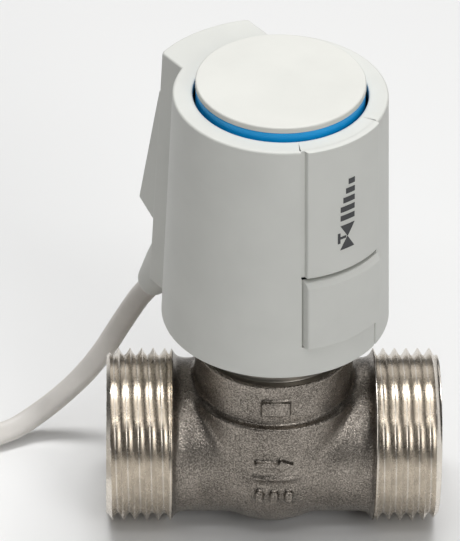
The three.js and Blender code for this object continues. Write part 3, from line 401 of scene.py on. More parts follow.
def curved_plate(name, xs, zs, outer, inner, side=-1, matrix=HEAD_MATRIX):
    """A plate that follows a wall: outer and inner give its radius at each (x, z)."""
    grid_x, grid_z = np.meshgrid(xs, zs)
    sheets = []
    for radius in (outer(grid_x, grid_z), inner(grid_x, grid_z)):
        depth = side * np.sqrt(np.maximum(radius**2 - grid_x**2, 0))
        sheets.append(np.stack([grid_x, depth, grid_z], -1).reshape(-1, 3))
    rows, columns = grid_x.shape
    back = rows * columns
    faces = grid_faces(rows, columns) + [f[::-1] for f in grid_faces(rows, columns, offset=back)]
    border = (
        [(0, j) for j in range(columns)]
        + [(i, columns - 1) for i in range(1, rows)]
        + [(rows - 1, j) for j in range(columns - 2, -1, -1)]
        + [(i, 0) for i in range(rows - 2, 0, -1)]
    )
    for k, (i, j) in enumerate(border):
        m, n = border[(k + 1) % len(border)]
        a, b = i * columns + j, m * columns + n
        faces.append((b, a, a + back, b + back))
    return weigh_normals(mesh_piece(name, np.concatenate(sheets), faces, matrix=matrix))


def sweep(name, path, section, across, closed_ends=True):
    """A tube along a path; section holds (width, height) points, across the width's direction."""
    path = [Vector(p) for p in path]
    vertices = []
    for i, place in enumerate(path):
        ahead = (path[min(i + 1, len(path) - 1)] - path[max(i - 1, 0)]).normalized()
        wide = Vector(across[i]) if len(across) == len(path) else Vector(across[0])
        wide = (wide - ahead * wide.dot(ahead)).normalized()
        high = ahead.cross(wide)
        vertices += [place + wide * w + high * h for w, h in section]
    count = len(section)
    faces = grid_faces(len(path), count, wrap_columns=True)
    if closed_ends:
        faces.append(tuple(range(count)))
        faces.append(tuple(reversed(range((len(path) - 1) * count, len(path) * count))))
    return mesh_piece(name, [tuple(v) for v in vertices], faces)


def oval(width, height, count=24, power=2.6):
    """A flat section with round ends, as (width, height) points."""
    points = []
    for k in range(count):
        t = 2 * math.pi * k / count
        c, s = math.cos(t), math.sin(t)
        points.append(
            (
                math.copysign(abs(c) ** (2 / power), c) * width / 2,
                math.copysign(abs(s) ** (2 / power), s) * height / 2,
            )
        )
    return points


def block(name, low, high, rounding=0.3, matrix=None):
    """A box with rounded edges."""
    form = bmesh.new()
    bmesh.ops.create_cube(form, size=1)
    low, high = Vector(low), Vector(high)
    for vertex in form.verts:
        for axis in range(3):
            vertex.co[axis] = (low[axis] if vertex.co[axis] < 0 else high[axis]) * MM
    bmesh.ops.bevel(
        form, geom=form.edges[:] + form.verts[:], offset=rounding * MM, segments=3, affect="EDGES", profile=0.5
    )
    mesh = bpy.data.meshes.new(name)
    form.to_mesh(mesh)
    form.free()
    if matrix is not None:
        mesh.transform(matrix)
    mesh.shade_smooth()
    piece = bpy.data.objects.new(name, mesh)
    bpy.context.scene.collection.objects.link(piece)
    return weigh_normals(piece)


def finish(piece, material, body, slot, *nodes):
    """Gives a piece its material and its body, and hides the CAD nodes that it stands for; the slot is not used."""
    piece.data.materials.clear()
    piece.data.materials.append(material)
    place(piece, body, slot, *nodes)
    return piece


def place(piece, body, slot, *nodes):
    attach(piece, body)
    if nodes:
        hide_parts(*nodes)


# ---------------------------------------------------------------- materials


class Nodes:
    """A short way to write a material's nodes."""

    def __init__(self, name):
        self.material = bpy.data.materials.new(name)
        self.material.use_nodes = True
        self.tree = self.material.node_tree
        self.tree.nodes.clear()
        self.output = self.tree.nodes.new("ShaderNodeOutputMaterial")
        self.shader = self.add("ShaderNodeBsdfPrincipled")
        self.tree.links.new(self.shader.outputs[0], self.output.inputs["Surface"])
        self.place = self.add("ShaderNodeTexCoord").outputs["Object"]

    def add(self, kind, **inputs):
        node = self.tree.nodes.new(kind)
        for key, value in inputs.items():
            self.feed(node.inputs[key.replace("_", " ")], value)
        return node

    def feed(self, socket, value):
        if isinstance(value, bpy.types.NodeSocket):
            self.tree.links.new(value, socket)
        elif hasattr(value, "__len__") and len(value) == 3 and socket.type == "RGBA":
            socket.default_value = (*value, 1)
        else:
            socket.default_value = value

    def set(self, **inputs):
        for key, value in inputs.items():
            self.feed(self.shader.inputs[key.replace("_", " ")], value)

    def noise(self, scale, detail=2, roughness=0.5, place=None):
        node = self.add("ShaderNodeTexNoise", Scale=scale, Detail=detail, Roughness=roughness)
        self.feed(node.inputs["Vector"], place or self.place)
        return node.outputs["Fac"]

    def cells(self, scale):
        node = self.add("ShaderNodeTexVoronoi", Scale=scale)
        self.feed(node.inputs["Vector"], self.place)
        return node.outputs["Distance"]

    def stretched(self, x, y, z):
        node = self.add("ShaderNodeMapping")
        self.feed(node.inputs["Vector"], self.place)
        node.inputs["Scale"].default_value = (x, y, z)
        return node.outputs["Vector"]

    def ramp(self, value, low, high, start=0.35, end=0.65):
        node = self.tree.nodes.new("ShaderNodeValToRGB")
        self.feed(node.inputs["Fac"], value)
        first, last = node.color_ramp.elements
        first.position, last.position = start, end
        first.color, last.color = (*low, 1), (*high, 1)
        return node.outputs["Color"]

    def spread(self, value, low, high, start=0.3, end=0.7):
        node = self.add("ShaderNodeMapRange", Value=value)
        node.inputs["From Min"].default_value = start
        node.inputs["From Max"].default_value = end
        node.inputs["To Min"].default_value = low
        node.inputs["To Max"].default_value = high
        return node.outputs["Result"]

    def math(self, operation, a, b):
        node = self.tree.nodes.new("ShaderNodeMath")
        node.operation = operation
        self.feed(node.inputs[0], a)
        self.feed(node.inputs[1], b)
        return node.outputs["Value"]

    def bump(self, height, distance, strength=1.0, under=None):
        node = self.add("ShaderNodeBump", Height=height, Strength=strength, Distance=distance * MM)
        if under is not None:
            self.feed(node.inputs["Normal"], under)
        return node.outputs["Normal"]


def tinted(colour, factor):
    return tuple(min(1, max(0, c * factor)) for c in colour)


def moulded_plastic(name, colour, roughness, grain=0.02, gloss=0.5):
    """Spark-eroded moulded plastic: fine grain, faint flow marks and cloudy gloss."""
    n = Nodes(name)
    fine = n.noise(4200, 3, 0.6)
    cloud = n.noise(90, 3)
    n.set(
        Base_Color=n.ramp(cloud, tinted(colour, 0.975), tinted(colour, 1.02)),
        Roughness=n.spread(fine, roughness - 0.07, roughness + 0.07),
        Normal=n.bump(fine, grain, 0.6),
    )
    n.set(Specular_IOR_Level=gloss)
    return n.material


def blasted_casting(name, dark, light, roughness):
    """Shot-blasted, nickel-plated casting: a dull brownish skin with random grain; its colour carries painted shade in
    the grain's hollows and painted highlight on the grain tops.
    """
    n = Nodes(name)
    grain = n.noise(3000, 3, 0.7)
    sparkle = n.noise(6800, 2, 0.6)
    patches = n.noise(160, 4, 0.6)
    # The colour follows the same grain as the bump: painted shade in the hollows and painted highlight on the tops,
    # mixed with random patches of tone.
    grain_tone_and_shade = n.math("ADD", n.math("MULTIPLY", grain, 0.78), n.math("MULTIPLY", patches, 0.22))
    relief = n.math("ADD", grain, n.math("MULTIPLY", sparkle, 0.5))
    rough = n.noise(700, 3, 0.6)
    under = n.bump(rough, 0.07, 0.5)
    n.set(
        Base_Color=n.ramp(grain_tone_and_shade, dark, light, 0.38, 0.66),
        Roughness=n.spread(grain, roughness + 0.08, roughness - 0.08),
        Normal=n.bump(relief, 0.085, 0.75, under),
    )
    n.set(Metallic=0.95)
    return n.material


def turned_metal(name, colour, roughness, axis="X", marks=0.004):
    """Machined metal: fine turning marks round an axis, with faint cloudy wear."""
    n = Nodes(name)
    along, across = 9000, 60
    scales = [across] * 3
    scales["XYZ".index(axis)] = along
    lines = n.noise(1, 2, 0.5, n.stretched(*scales))
    wear = n.noise(420, 4, 0.6)
    n.set(
        Base_Color=n.ramp(wear, tinted(colour, 0.9), tinted(colour, 1.04), 0.3, 0.7),
        Roughness=n.spread(wear, roughness * 1.2, roughness * 0.9),
        Normal=n.bump(lines, marks, 0.25),
    )
    n.set(Metallic=1.0)
    return n.material


def rubber_black(name):
    n = Nodes(name)
    skin = n.noise(2600, 3, 0.6)
    n.set(
        Base_Color=n.ramp(skin, (0.012, 0.012, 0.013), (0.03, 0.03, 0.032)),
        Roughness=n.spread(skin, 0.55, 0.8),
        Normal=n.bump(skin, 0.02, 0.5),
    )
    return n.material


def cable_sheath(name, colour):
    """Extruded PVC: faint lengthwise drawing lines, soft gloss and a little handling dirt."""
    n = Nodes(name)
    skin = n.noise(1900, 3, 0.55)
    dirt = n.noise(70, 4, 0.6)
    n.set(
        Base_Color=n.ramp(dirt, tinted(colour, 0.9), tinted(colour, 1.04)),
        Roughness=n.spread(skin, 0.38, 0.55),
        Normal=n.bump(skin, 0.02, 0.4),
    )
    n.set(Specular_IOR_Level=0.45, Subsurface_Weight=0.04, Subsurface_Radius=(0.002, 0.0018, 0.0015))
    n.set(Subsurface_Scale=0.4)
    return n.material


def circuit_laminate(name):
    """Solder mask with copper tracks that show through it."""
    n = Nodes(name)
    brick = n.add("ShaderNodeTexBrick", Scale=420)
    n.feed(brick.inputs["Vector"], n.place)
    tracks = n.spread(brick.outputs["Fac"], 0, 1, 0.2, 0.8)
    cloud = n.noise(300, 2)
    n.set(
        Base_Color=n.ramp(tracks, (0.004, 0.055, 0.022), (0.02, 0.13, 0.05), 0.2, 0.8),
        Roughness=n.spread(cloud, 0.28, 0.4),
        Normal=n.bump(tracks, 0.03, 0.6),
    )
    return n.material


def make_materials():
    """Every finish, by the name of its slot in the record."""
    look = settings("finish")
    grey = look.housing_colour
    return {
        "grey_plastic": moulded_plastic("moulded_grey", grey, look.housing_roughness),
        "white_plastic": moulded_plastic("moulded_off_white", look.cap_colour, 0.46),
        "blue_plastic": moulded_plastic("moulded_blue", look.blue_colour, 0.42, 0.006),
        "dark_plastic": moulded_plastic("glass_filled_black", (0.03, 0.032, 0.035), 0.55, 0.03),
        "adapter_plastic": moulded_plastic("glass_filled_grey", tinted(grey, 0.85), 0.55, 0.03),
        "tie_white": moulded_plastic("nylon", (0.72, 0.72, 0.70), 0.4),
        "ink": moulded_plastic("pad_print", look.print_colour, 0.42, 0.004),
        "cast_nickel": blasted_casting("blasted_nickel", look.cast_hollow_shade, look.cast_grain_highlight, look.cast_roughness),
        "thread_nickel": turned_metal("turned_nickel", look.thread_colour, look.thread_roughness),
        # The neck's finish is the thread nickel darkened to 0.42: painted shade for the collar top under the head.
        "neck_nickel": turned_metal("turned_nickel_upright", tinted(look.thread_colour, 0.42), 0.38, "Z", 0.01),
        "turned_brass": turned_metal("turned_brass", (0.72, 0.52, 0.24), 0.22, "Z"),
        "steel": turned_metal("bright_steel", (0.62, 0.63, 0.64), 0.2, "Z"),
        "spring_steel": turned_metal("spring_wire", (0.42, 0.43, 0.44), 0.26, "Z", 0.002),
        "rubber": rubber_black("black_rubber"),
        "board_green": circuit_laminate("solder_mask"),
        "ceramic": moulded_plastic("sintered_ceramic", (0.10, 0.09, 0.08), 0.7, 0.02),
        "cable_grey": cable_sheath("cable_sheath", look.cable_colour),
        "core_blue": cable_sheath("core_blue", (0.01, 0.10, 0.38)),
        "core_brown": cable_sheath("core_brown", (0.11, 0.045, 0.02)),
    }


FINISHES = {}


class ZONEVALVE_OT_finishes(bpy.types.Operator):
    """Make every finish and give each CAD piece its own"""

    bl_idname = "zone_valve.finishes"
    bl_label = "Finishes"

    def execute(self, context):
        FINISHES.update(make_materials())
        for row in frame["record"]["subparts"]:
            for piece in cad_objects(row["node"]):
                piece.data.materials.clear()
                piece.data.materials.append(FINISHES[row["material_slot"]])
        return {"FINISHED"}


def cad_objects(node):
    """The Blender object or objects of a CAD node."""
    found = frame["nodes"][node]
    return found if isinstance(found, (list, tuple)) else [found]


# ---------------------------------------------------------------- stage


def area_light(name, power, size, distance, elevation, azimuth=0, colour=(1, 1, 1)):
    """A soft box that looks at the valve from an elevation in degrees, past 90 from behind."""
    light = bpy.data.lights.new(name, "AREA")
    light.shape = "RECTANGLE"
    light.size, light.size_y = size
    light.energy = power
    light.color = colour
    lamp = bpy.data.objects.new(name, light)
    bpy.context.scene.collection.objects.link(lamp)
    rise, turn = math.radians(elevation), math.radians(azimuth)
    out = Vector(
        (math.sin(turn) * math.cos(rise), -math.cos(turn) * math.cos(rise), math.sin(rise))
    )
    lamp.location = out * distance + Vector((0, 0, 0.03))
    lamp.rotation_mode = "QUATERNION"
    lamp.rotation_quaternion = (-out).to_track_quat("-Z", "Y")
    return lamp


class ZONEVALVE_OT_stage(bpy.types.Operator):
    """Make the camera, the pale floor and the soft lights"""

    bl_idname = "zone_valve.stage"
    bl_label = "Stage"

    def execute(self, context):
        stage = settings("stage")
        scene = context.scene
        scene.view_settings.view_transform = "Standard"

        data = bpy.data.cameras.new("camera")
        data.lens = stage.lens
        data.sensor_width = 36
        data.clip_start, data.clip_end = 0.05, 20
        camera = bpy.data.objects.new("camera", data)
        scene.collection.objects.link(camera)
        tilt = math.pi / 2 - stage.elevation
        aim = Euler((0, 0, stage.azimuth)).to_matrix() @ Euler((tilt, 0, 0)).to_matrix()
        aim = aim @ Euler((0, 0, stage.roll)).to_matrix()
        camera.rotation_mode = "QUATERNION"
        camera.rotation_quaternion = aim.to_quaternion()
        camera.location = CAMERA_TARGET * MM + aim @ Vector((0, 0, stage.distance))
        scene.camera = camera

        reach = 4.0
        floor_z = FLOOR_Z * MM - 0.0001
        floor = mesh_piece(
            "floor",
            [(x / MM, y / MM, floor_z / MM) for x, y in ((-reach, -reach), (reach, -reach), (reach, reach), (-reach, reach))],
            [(0, 1, 2, 3)],
            smooth=False,
        )
        n = Nodes("pale_floor")
        tone = n.noise(6, 2)
        pale = tuple(stage.floor_colour)
        n.set(Base_Color=n.ramp(tone, tinted(pale, 0.995), pale), Roughness=n.spread(tone, 0.8, 0.9))
        n.set(Specular_IOR_Level=0.1)
        floor.data.materials.append(n.material)

        world = bpy.data.worlds.new("soft_studio")
        world.use_nodes = True
        sky = world.node_tree.nodes["Background"]
        sky.inputs["Color"].default_value = (1, 1, 1, 1)
        sky.inputs["Strength"].default_value = stage.world_strength
        scene.world = world

        area_light("overhead", stage.overhead_power, (0.6, 0.20), 0.85, 103)
        area_light("top", stage.top_power, (0.9, 0.5), 0.95, 82)
        area_light("back", stage.back_power, (1.2, 0.6), 1.2, 35, 180)
        area_light("strip", stage.strip_power, (0.7, 0.10), 0.9, 58)
        area_light("side", stage.side_power, (0.5, 0.6), 1.3, 30, 30)
        return {"FINISHED"}


# ---------------------------------------------------------------- cable

# The route from the hood to the coil, the same as the solid cable's.
CABLE_ROUTE = [
    (-26.5, 23.6, 17.1),
    (-30.1, 25.0, 9.6),
    (-34.1, 25.0, 2.0),
    (-37.8, 24.5, -3.3),
    (-42.9, 23.6, -8.6),
    (-47.8, 22.4, -12.4),
    (-52.4, 20.0, -14.2),
    (-57.6, 17.6, -14.4),
    (-66.0, 16.0, -14.0),
    (-76.9, 16.0, -13.2),
]
HOOD_EXIT = Vector((-7.1, 31.8, 21.7))


def hood_direction():
    lean = settings("head").hood_lean
    return Vector((0, math.sin(lean), -math.cos(lean)))


def smooth_route(points, step=1.5):
    """A centripetal Catmull-Rom curve through the points, sampled about every step."""
    points = [np.array(p, float) for p in points]
    points = [2 * points[0] - points[1], *points, 2 * points[-1] - points[-2]]
    line = [points[1]]
    for a, b, c, d in zip(points, points[1:], points[2:], points[3:]):
        knots = [0.0]
        for p, q in ((a, b), (b, c), (c, d)):
            knots.append(knots[-1] + math.sqrt(np.linalg.norm(q - p)))
        t0, t1, t2, t3 = knots
        pieces = max(2, int(round(np.linalg.norm(c - b) / step)))
        for k in range(1, pieces + 1):
            t = t1 + (t2 - t1) * k / pieces
            ab = (t1 - t) / (t1 - t0) * a + (t - t0) / (t1 - t0) * b
            bc = (t2 - t) / (t2 - t1) * b + (t - t1) / (t2 - t1) * c
            cd = (t3 - t) / (t3 - t2) * c + (t - t2) / (t3 - t2) * d
            abc = (t2 - t) / (t2 - t0) * ab + (t - t0) / (t2 - t0) * bc
            bcd = (t3 - t) / (t3 - t1) * bc + (t - t1) / (t3 - t1) * cd
            line.append((t2 - t) / (t2 - t1) * abc + (t - t1) / (t2 - t1) * bcd)
    return line


def blended(steps, t):
    """The direction at t among (place, direction) steps, in order."""
    for (start, first), (end, second) in zip(steps, steps[1:]):
        if t <= end:
            return first.lerp(second, max(0, (t - start) / (end - start))).normalized()
    return steps[-1][1]


def coil_turns(width, thickness, turns):
    """The coil's centreline: turns beside each other in two layers, wound in from the route."""
    middle = (COIL_LOW + COIL_HIGH) / 2
    outer = (COIL_HIGH.x - COIL_LOW.x) / 2
    gap = 0.05
    columns = [outer - gap - (thickness + gap) * k - thickness / 2 for k in range(3)]
    lower = COIL_LOW.z + gap + width / 2
    upper = lower + width + gap
    places = [(radius, lower) for radius in columns] + [(radius, upper) for radius in reversed(columns)]
    points = []
    per_turn = 72
    for k in range(int(turns * per_turn) + 1):
        turn = k / per_turn
        slot = min(int(turn), len(places) - 1)
        after = min(slot + 1, len(places) - 1)
        part = turn - slot
        ease = max(0.0, min(1.0, (part - 0.78) / 0.22))
        ease = ease * ease * (3 - 2 * ease)
        radius = places[slot][0] * (1 - ease) + places[after][0] * ease
        height = places[slot][1] * (1 - ease) + places[after][1] * ease
        spin = math.pi / 2 + 2 * math.pi * turn
        points.append(
            np.array([middle.x + radius * math.cos(spin), middle.y + radius * math.sin(spin), height])
        )
    return points


class ZONEVALVE_OT_cable(bpy.types.Operator):
    """Make the flat cable with its tied coil, bare cores and ferrules"""

    bl_idname = "zone_valve.cable"
    bl_label = "Cable"

    # The cable lies flat on its broad side from here to the coil.
    LYING_X = -44.0

    def execute(self, context):
        cable = Sizes(settings("cable"))
        exit_point = HEAD_MATRIX @ HOOD_EXIT
        out = (HEAD_MATRIX.to_3x3() @ hood_direction()).normalized()
        start = [exit_point - out * 1.2, exit_point + out * 0.3, exit_point + out * 1.8]
        coil = coil_turns(cable.width, cable.thickness, cable.turns)
        lead = smooth_route([*map(tuple, start), *CABLE_ROUTE, tuple(coil[0])])
        tail_end = np.array([TAIL_HIGH.x, (TAIL_LOW.y + TAIL_HIGH.y) / 2, (TAIL_LOW.z + TAIL_HIGH.z) / 2])
        tail_start = tail_end - (TAIL_HIGH.x - TAIL_LOW.x, 0, 0)
        let_go = coil[-1] + (10, -0.3, -1.0)
        tail = smooth_route([tuple(coil[-1]), tuple(let_go), tuple(tail_start), tuple(tail_end)])
        path = lead + coil[1:] + tail[1:]

        # The way that the broad face looks where the cable hangs, where it lies and in the coil.
        hanging, lying, standing = Vector((0, -0.8, 0.6)), Vector((0.1, -0.35, 0.93)), Vector((0, -1, 0))
        upright, flat = Vector((0, 0, 1)), Vector((0, 1, 0))
        visible = next(k for k, point in enumerate(lead) if point[0] < self.LYING_X) / len(lead)
        facing = [(0, hanging), (0.4 * visible, hanging), (0.9 * visible, lying), (1, standing)]
        across = []
        for k, _ in enumerate(path):
            if k < len(lead):
                ahead = Vector(lead[min(k + 1, len(lead) - 1)]) - Vector(lead[max(k - 1, 0)])
                across.append(ahead.cross(blended(facing, k / len(lead))).normalized())
            elif k < len(lead) + len(coil) - 1:
                across.append(upright)
            else:
                t = (k - len(lead) - len(coil) + 2) / max(1, len(tail) - 1)
                across.append(upright.lerp(flat, t))
        section = oval(cable.width, cable.thickness)
        tube = sweep("flat_cable", [tuple(p) for p in path], section, across)
        finish(tube, FINISHES["cable_grey"], ROOT, "cable_grey", "cable", "cable_coil", "cable_tail")

        pieces = [self.tie(cable)]
        end = Vector(tail_end)
        for node, finish_name, ferrule in (
            ("cable_core_1", "core_blue", "ferrule_1"),
            ("cable_core_2", "core_brown", "ferrule_2"),
        ):
            pieces += self.core(cable, end, node, finish_name, ferrule)
        total = sum(float(np.linalg.norm(b - a)) for a, b in zip(map(np.array, path), map(np.array, path[1:])))
        [tuple(np.array(p) * MM) for p in path]
        return {"FINISHED"}

    def core(self, cable, end, node, finish_name, ferrule):
        """One insulated core that leaves the sheath, with its crimped ferrule."""
        low, high = node_box(node)
        y, z = (low.y + high.y) / 2, (low.z + high.z) / 2
        ring = oval(2 * cable.core_radius, 2 * cable.core_radius, 20, 2)
        start = Vector((end.x - 1.5, (end.y + y) / 2, z))
        line = smooth_route([tuple(start), (end.x + 1.5, y, z), (high.x, y, z)], 0.8)
        core = sweep(node.replace("cable_", "") + "_insulation", line, ring, [(0, 1, 0)])
        finish(core, FINISHES[finish_name], ROOT, finish_name, node)
        low, high = node_box(ferrule)
        r = cable.ferrule_radius
        collar = cable.core_radius + 0.28
        profile = rounded(
            [(0, high.x), (r * 0.8, high.x), (r, high.x - 0.4), (r, low.x + 1.6), (collar, low.x + 0.9),
             (collar, low.x - 1.1), (cable.core_radius, low.x - 1.1)],
            0.12,
        )
        sleeve = lathe(ferrule + "_sleeve", profile, 32, "X")
        sleeve.data.transform(Matrix.Translation(Vector((0, y, z)) * MM))
        finish(sleeve, FINISHES["steel"], ROOT, "steel", ferrule)
        return [core, sleeve]

    def tie(self, cable):
        """A toothed nylon strap round the coil, with its lock and its cut end."""
        low, high = node_box("cable_tie")
        middle = (low + high) / 2
        half = (high.y - low.y) / 2
        thick = 0.9
        top = COIL_HIGH.z + 0.3
        inner_low, inner_high = low.x + thick, high.x - thick
        loop = rounded(
            [(inner_low, low.z + thick), (inner_high, low.z + thick), (inner_high, top), (inner_low, top)],
            2.2, 6, closed=True,
        )
        outer = rounded(
            [(low.x, low.z), (high.x, low.z), (high.x, top + thick), (low.x, top + thick)], 3.1, 6, closed=True
        )
        vertices, rows = [], []
        bevel = 0.25
        for inside, outside in zip(loop, outer):
            lift = (outside - inside) / np.linalg.norm(outside - inside) * bevel
            rows.append(len(vertices))
            for place_xz, y in (
                (inside, middle.y - half + bevel),
                (inside + lift, middle.y - half),
                (outside - lift, middle.y - half),
                (outside, middle.y - half + bevel),
                (outside, middle.y + half - bevel),
                (outside - lift, middle.y + half),
                (inside + lift, middle.y + half),
                (inside, middle.y + half - bevel),
            ):
                vertices.append((place_xz[0], y, place_xz[1]))
        faces = grid_faces(len(rows), 8, wrap_rows=True, wrap_columns=True)
        band = weigh_normals(mesh_piece("tie_band", vertices, faces))
        lock_half = 2.2
        lock = block(
            "tie_lock",
            (middle.x - lock_half, middle.y - half, top + 0.1),
            (middle.x + lock_half, middle.y + half, high.z),
            0.45,
        )
        tail = block(
            "tie_tail",
            (middle.x + lock_half - 0.4, middle.y - half * 0.8, top + 1.3),
            (high.x, middle.y + half * 0.8, top + 2.1),
            0.2,
        )
        strap = joined("cable_tie_strap", [band, lock, tail])
        return finish(strap, FINISHES["tie_white"], ROOT, "tie_white", "cable_tie")


# ---------------------------------------------------------------- valve body


def subtract(piece, tools):
    for tool in tools:
        cut = piece.modifiers.new("Cut", "BOOLEAN")
        cut.operation = "DIFFERENCE"
        cut.solver = "EXACT"
        cut.object = tool


def add_solids(piece, tools):
    for tool in tools:
        union = piece.modifiers.new("Join", "BOOLEAN")
        union.operation = "UNION"
        union.solver = "EXACT"
        union.object = tool


def raised_mark(name, outline, radius, height):
    """A plate whose front follows a cylinder about Z, from an (x, z) outline."""
    outline = [np.array(p, float) for p in outline]
    dense = []
    for p, q in zip(outline, outline[1:] + outline[:1]):
        pieces = max(1, int(np.linalg.norm(q - p) / 0.4))
        dense += [p + (q - p) * k / pieces for k in range(pieces)]
    count = len(dense)
    front = [(x, -math.sqrt((radius + height) ** 2 - x * x), z) for x, z in dense]
    back = [(x, -math.sqrt((radius - 1) ** 2 - x * x), z) for x, z in dense]
    faces = [tuple(range(count)), tuple(reversed(range(count, 2 * count)))]
    for k in range(count):
        after = (k + 1) % count
        faces.append((after, k, k + count, after + count))
    return mesh_piece(name, front + back, faces, smooth=False)


def rectangle(x, z, width, height):
    return [
        (x - width / 2, z - height / 2),
        (x + width / 2, z - height / 2),
        (x + width / 2, z + height / 2),
        (x - width / 2, z + height / 2),
    ]


def casting_marks(size):
    """The flow arrow and the plain marks that stand in for cast lettering."""
    tip, arrow_z = 3.95, 5.9
    arrow = [
        (-tip, arrow_z - 0.55),
        (tip - 3.0, arrow_z - 0.55),
        (tip - 3.0, arrow_z - 1.5),
        (tip, arrow_z),
        (tip - 3.0, arrow_z + 1.5),
        (tip - 3.0, arrow_z + 0.55),
        (-tip, arrow_z + 0.55),
    ]
    height = 1.1
    marks = [
        raised_mark("arrow", arrow, size.column_radius, height),
        raised_mark("ridge", rectangle(0, 2.2, 10.6, 0.7), size.column_radius, 0.6),
        raised_mark("plate", rectangle(0, 18.6, 5.6, 3.2), size.collar_radius, height),
    ]
    for k in (-1, 0, 1):
        marks.append(raised_mark("pip", rectangle(2.9 * k, -2.1, 1.5, 2.8), size.column_radius, height))
    return marks


class ZONEVALVE_OT_casting(bpy.types.Operator):
    """Make the blasted casting between the two threads, hollow to the seat"""

    bl_idname = "zone_valve.casting"
    bl_label = "Casting"

    def execute(self, context):
        size = Sizes(settings("body"))
        shoulder = HALF_BODY - size.thread_length
        flare = 2.6
        side = rounded(
            [
                (size.pipe_radius, 0),
                (size.pipe_radius, shoulder - flare),
                (size.pipe_radius + 0.25, shoulder - flare * 0.35),
                (THREAD_CREST_R - 0.05, shoulder),
            ],
            1.6,
        )
        profile = [(0, -shoulder)] + [(r, -x) for r, x in reversed(side)] + [(r, x) for r, x in side[1:]]
        profile += [(0, shoulder)]
        casting = lathe("casting", profile, 128, "X")

        bowl_steps = 24
        bowl = [
            (size.column_radius * math.sin(t), -size.column_radius * math.cos(t))
            for t in np.linspace(0, math.pi / 2, bowl_steps)
        ]
        column = lathe(
            "column",
            bowl
            + rounded(
                [
                    (size.column_radius, 0.5),
                    (size.column_radius, size.ledge_height),
                    (size.collar_radius, size.ledge_height),
                    (size.collar_radius, size.collar_top),
                    (0, size.collar_top),
                ],
                0,
            ),
            128,
        )
        inside_x = 13.0
        chamber = 10.5
        web = 1.5
        tools = []
        for sign in (-1, 1):
            far, near = sign * (shoulder + 1), sign * inside_x
            tools.append(lathe("bore", [(0, near), (size.bore_radius, near), (size.bore_radius, far), (0, far)], 96, "X"))
            low, high = (-size.bore_radius + 1, -web) if sign < 0 else (web, size.bore_radius - 1)
            x0, x1 = sorted((sign * 1.0, sign * (inside_x + 1)))
            tools.append(block("passage", (x0, -6.5, low), (x1, 6.5, high), 0.8))
        tools.append(lathe("lower_chamber", [(0, -chamber), (chamber, -chamber), (chamber, -web), (0, -web)], 96))
        top = size.collar_top + 1
        tools.append(lathe("upper_chamber", [(0, web), (chamber, web), (chamber, top), (0, top)], 96))
        tools.append(lathe("seat_hole", [(0, -3), (7, -3), (7, 3), (0, 3)], 64))
        marks = casting_marks(size)
        add_solids(casting, [column, *marks])
        subtract(casting, tools)
        remesh = casting.modifiers.new("Remesh", "REMESH")
        remesh.mode = "VOXEL"
        remesh.voxel_size = size.casting_voxel * MM
        remesh.use_smooth_shade = True
        context.view_layer.update()
        body = joined("valve_casting", [casting])
        for tool in [column, *marks, *tools]:
            bpy.data.objects.remove(tool)
        self.soften(body, size)
        finish(body, FINISHES["cast_nickel"], ROOT, "cast_nickel", "valve_body")
        return {"FINISHED"}

    def soften(self, body, size):
        """Rounds every edge a little, and the saddles between pipe and column a lot."""
        mesh = body.data
        count = len(mesh.vertices)
        points = np.empty(count * 3)
        mesh.vertices.foreach_get("co", points)
        points = points.reshape(-1, 3) / MM
        edges = np.empty(len(mesh.edges) * 2, int)
        mesh.edges.foreach_get("vertices", edges)
        edges = edges.reshape(-1, 2)
        degree = np.bincount(edges.ravel(), minlength=count).astype(float)[:, None]

        pipe = np.hypot(points[:, 1], points[:, 2])
        column = np.hypot(points[:, 0], points[:, 1])
        column = np.where(points[:, 2] < 0, np.linalg.norm(points, axis=1), column)
        column_edge = np.where(points[:, 2] > size.ledge_height, size.collar_radius, size.column_radius)
        outside = (pipe > size.bore_radius + 1.5) & (column > 12)
        near = np.hypot(pipe - size.pipe_radius, column - column_edge)
        saddle = np.where(outside, np.clip(1.6 - near / 1.6, 0, 1), 0)[:, None]
        for step in range(46):
            total = np.zeros_like(points)
            np.add.at(total, edges[:, 0], points[edges[:, 1]])
            np.add.at(total, edges[:, 1], points[edges[:, 0]])
            middle = total / degree
            weight = 0.5 * saddle if step >= 2 else 0.5
            points = points + (middle - points) * weight
        mesh.vertices.foreach_set("co", (points * MM).ravel())
        mesh.update()
        mesh.shade_smooth()


def thread_end(name, size, side, segments=180):
    """One G1 end: right-hand helix outside, chamfered mouth, gasket face and bore."""
    start, end = HALF_BODY - size.thread_length, HALF_BODY
    root = THREAD_CREST_R - size.thread_depth
    per_pitch = 24
    part = np.arange(segments + 1) / segments
    turn = part * 2 * math.pi
    climb = part if side > 0 else 1 - part
    chamfer, mouth_drop = 1.3, 1.5
    vertices = []
    # The rows climb with the helix, so that each crest runs along one row.
    for i in range(math.ceil(per_pitch * (size.thread_length / size.thread_pitch + 1)) + 1):
        x = np.clip(start + (i / per_pitch - 1 + climb) * size.thread_pitch, start, end)
        phase = (x - start) / size.thread_pitch - side * part + 0.25
        wave = np.abs((phase % 1) - 0.5) * 2
        radius = root + (THREAD_CREST_R - root) * np.minimum(wave / 0.96, 1) ** 1.6
        runout = np.clip(1 - (x - start) / 0.5, 0, 1)
        radius = radius * (1 - runout) + THREAD_CREST_R * runout
        limit = THREAD_CREST_R - np.clip((x - (end - chamfer)) / chamfer, 0, 1) * mouth_drop
        radius = np.minimum(radius, limit)
        vertices.append(np.stack([side * x, radius * np.cos(turn), radius * np.sin(turn)], 1))
    inside_x = 12.6
    mouth = rounded(
        [(THREAD_CREST_R - mouth_drop, end), (size.bore_radius + 0.5, end), (size.bore_radius, end - 0.5),
         (size.bore_radius, inside_x)],
        0.2,
    )
    for radius, x in mouth[1:]:
        across = np.full(segments + 1, side * x)
        vertices.append(np.stack([across, radius * np.cos(turn), radius * np.sin(turn)], 1))
    faces = grid_faces(len(vertices), segments + 1)
    piece = mesh_piece(name, np.concatenate(vertices), faces)
    return weigh_normals(piece, math.radians(50))


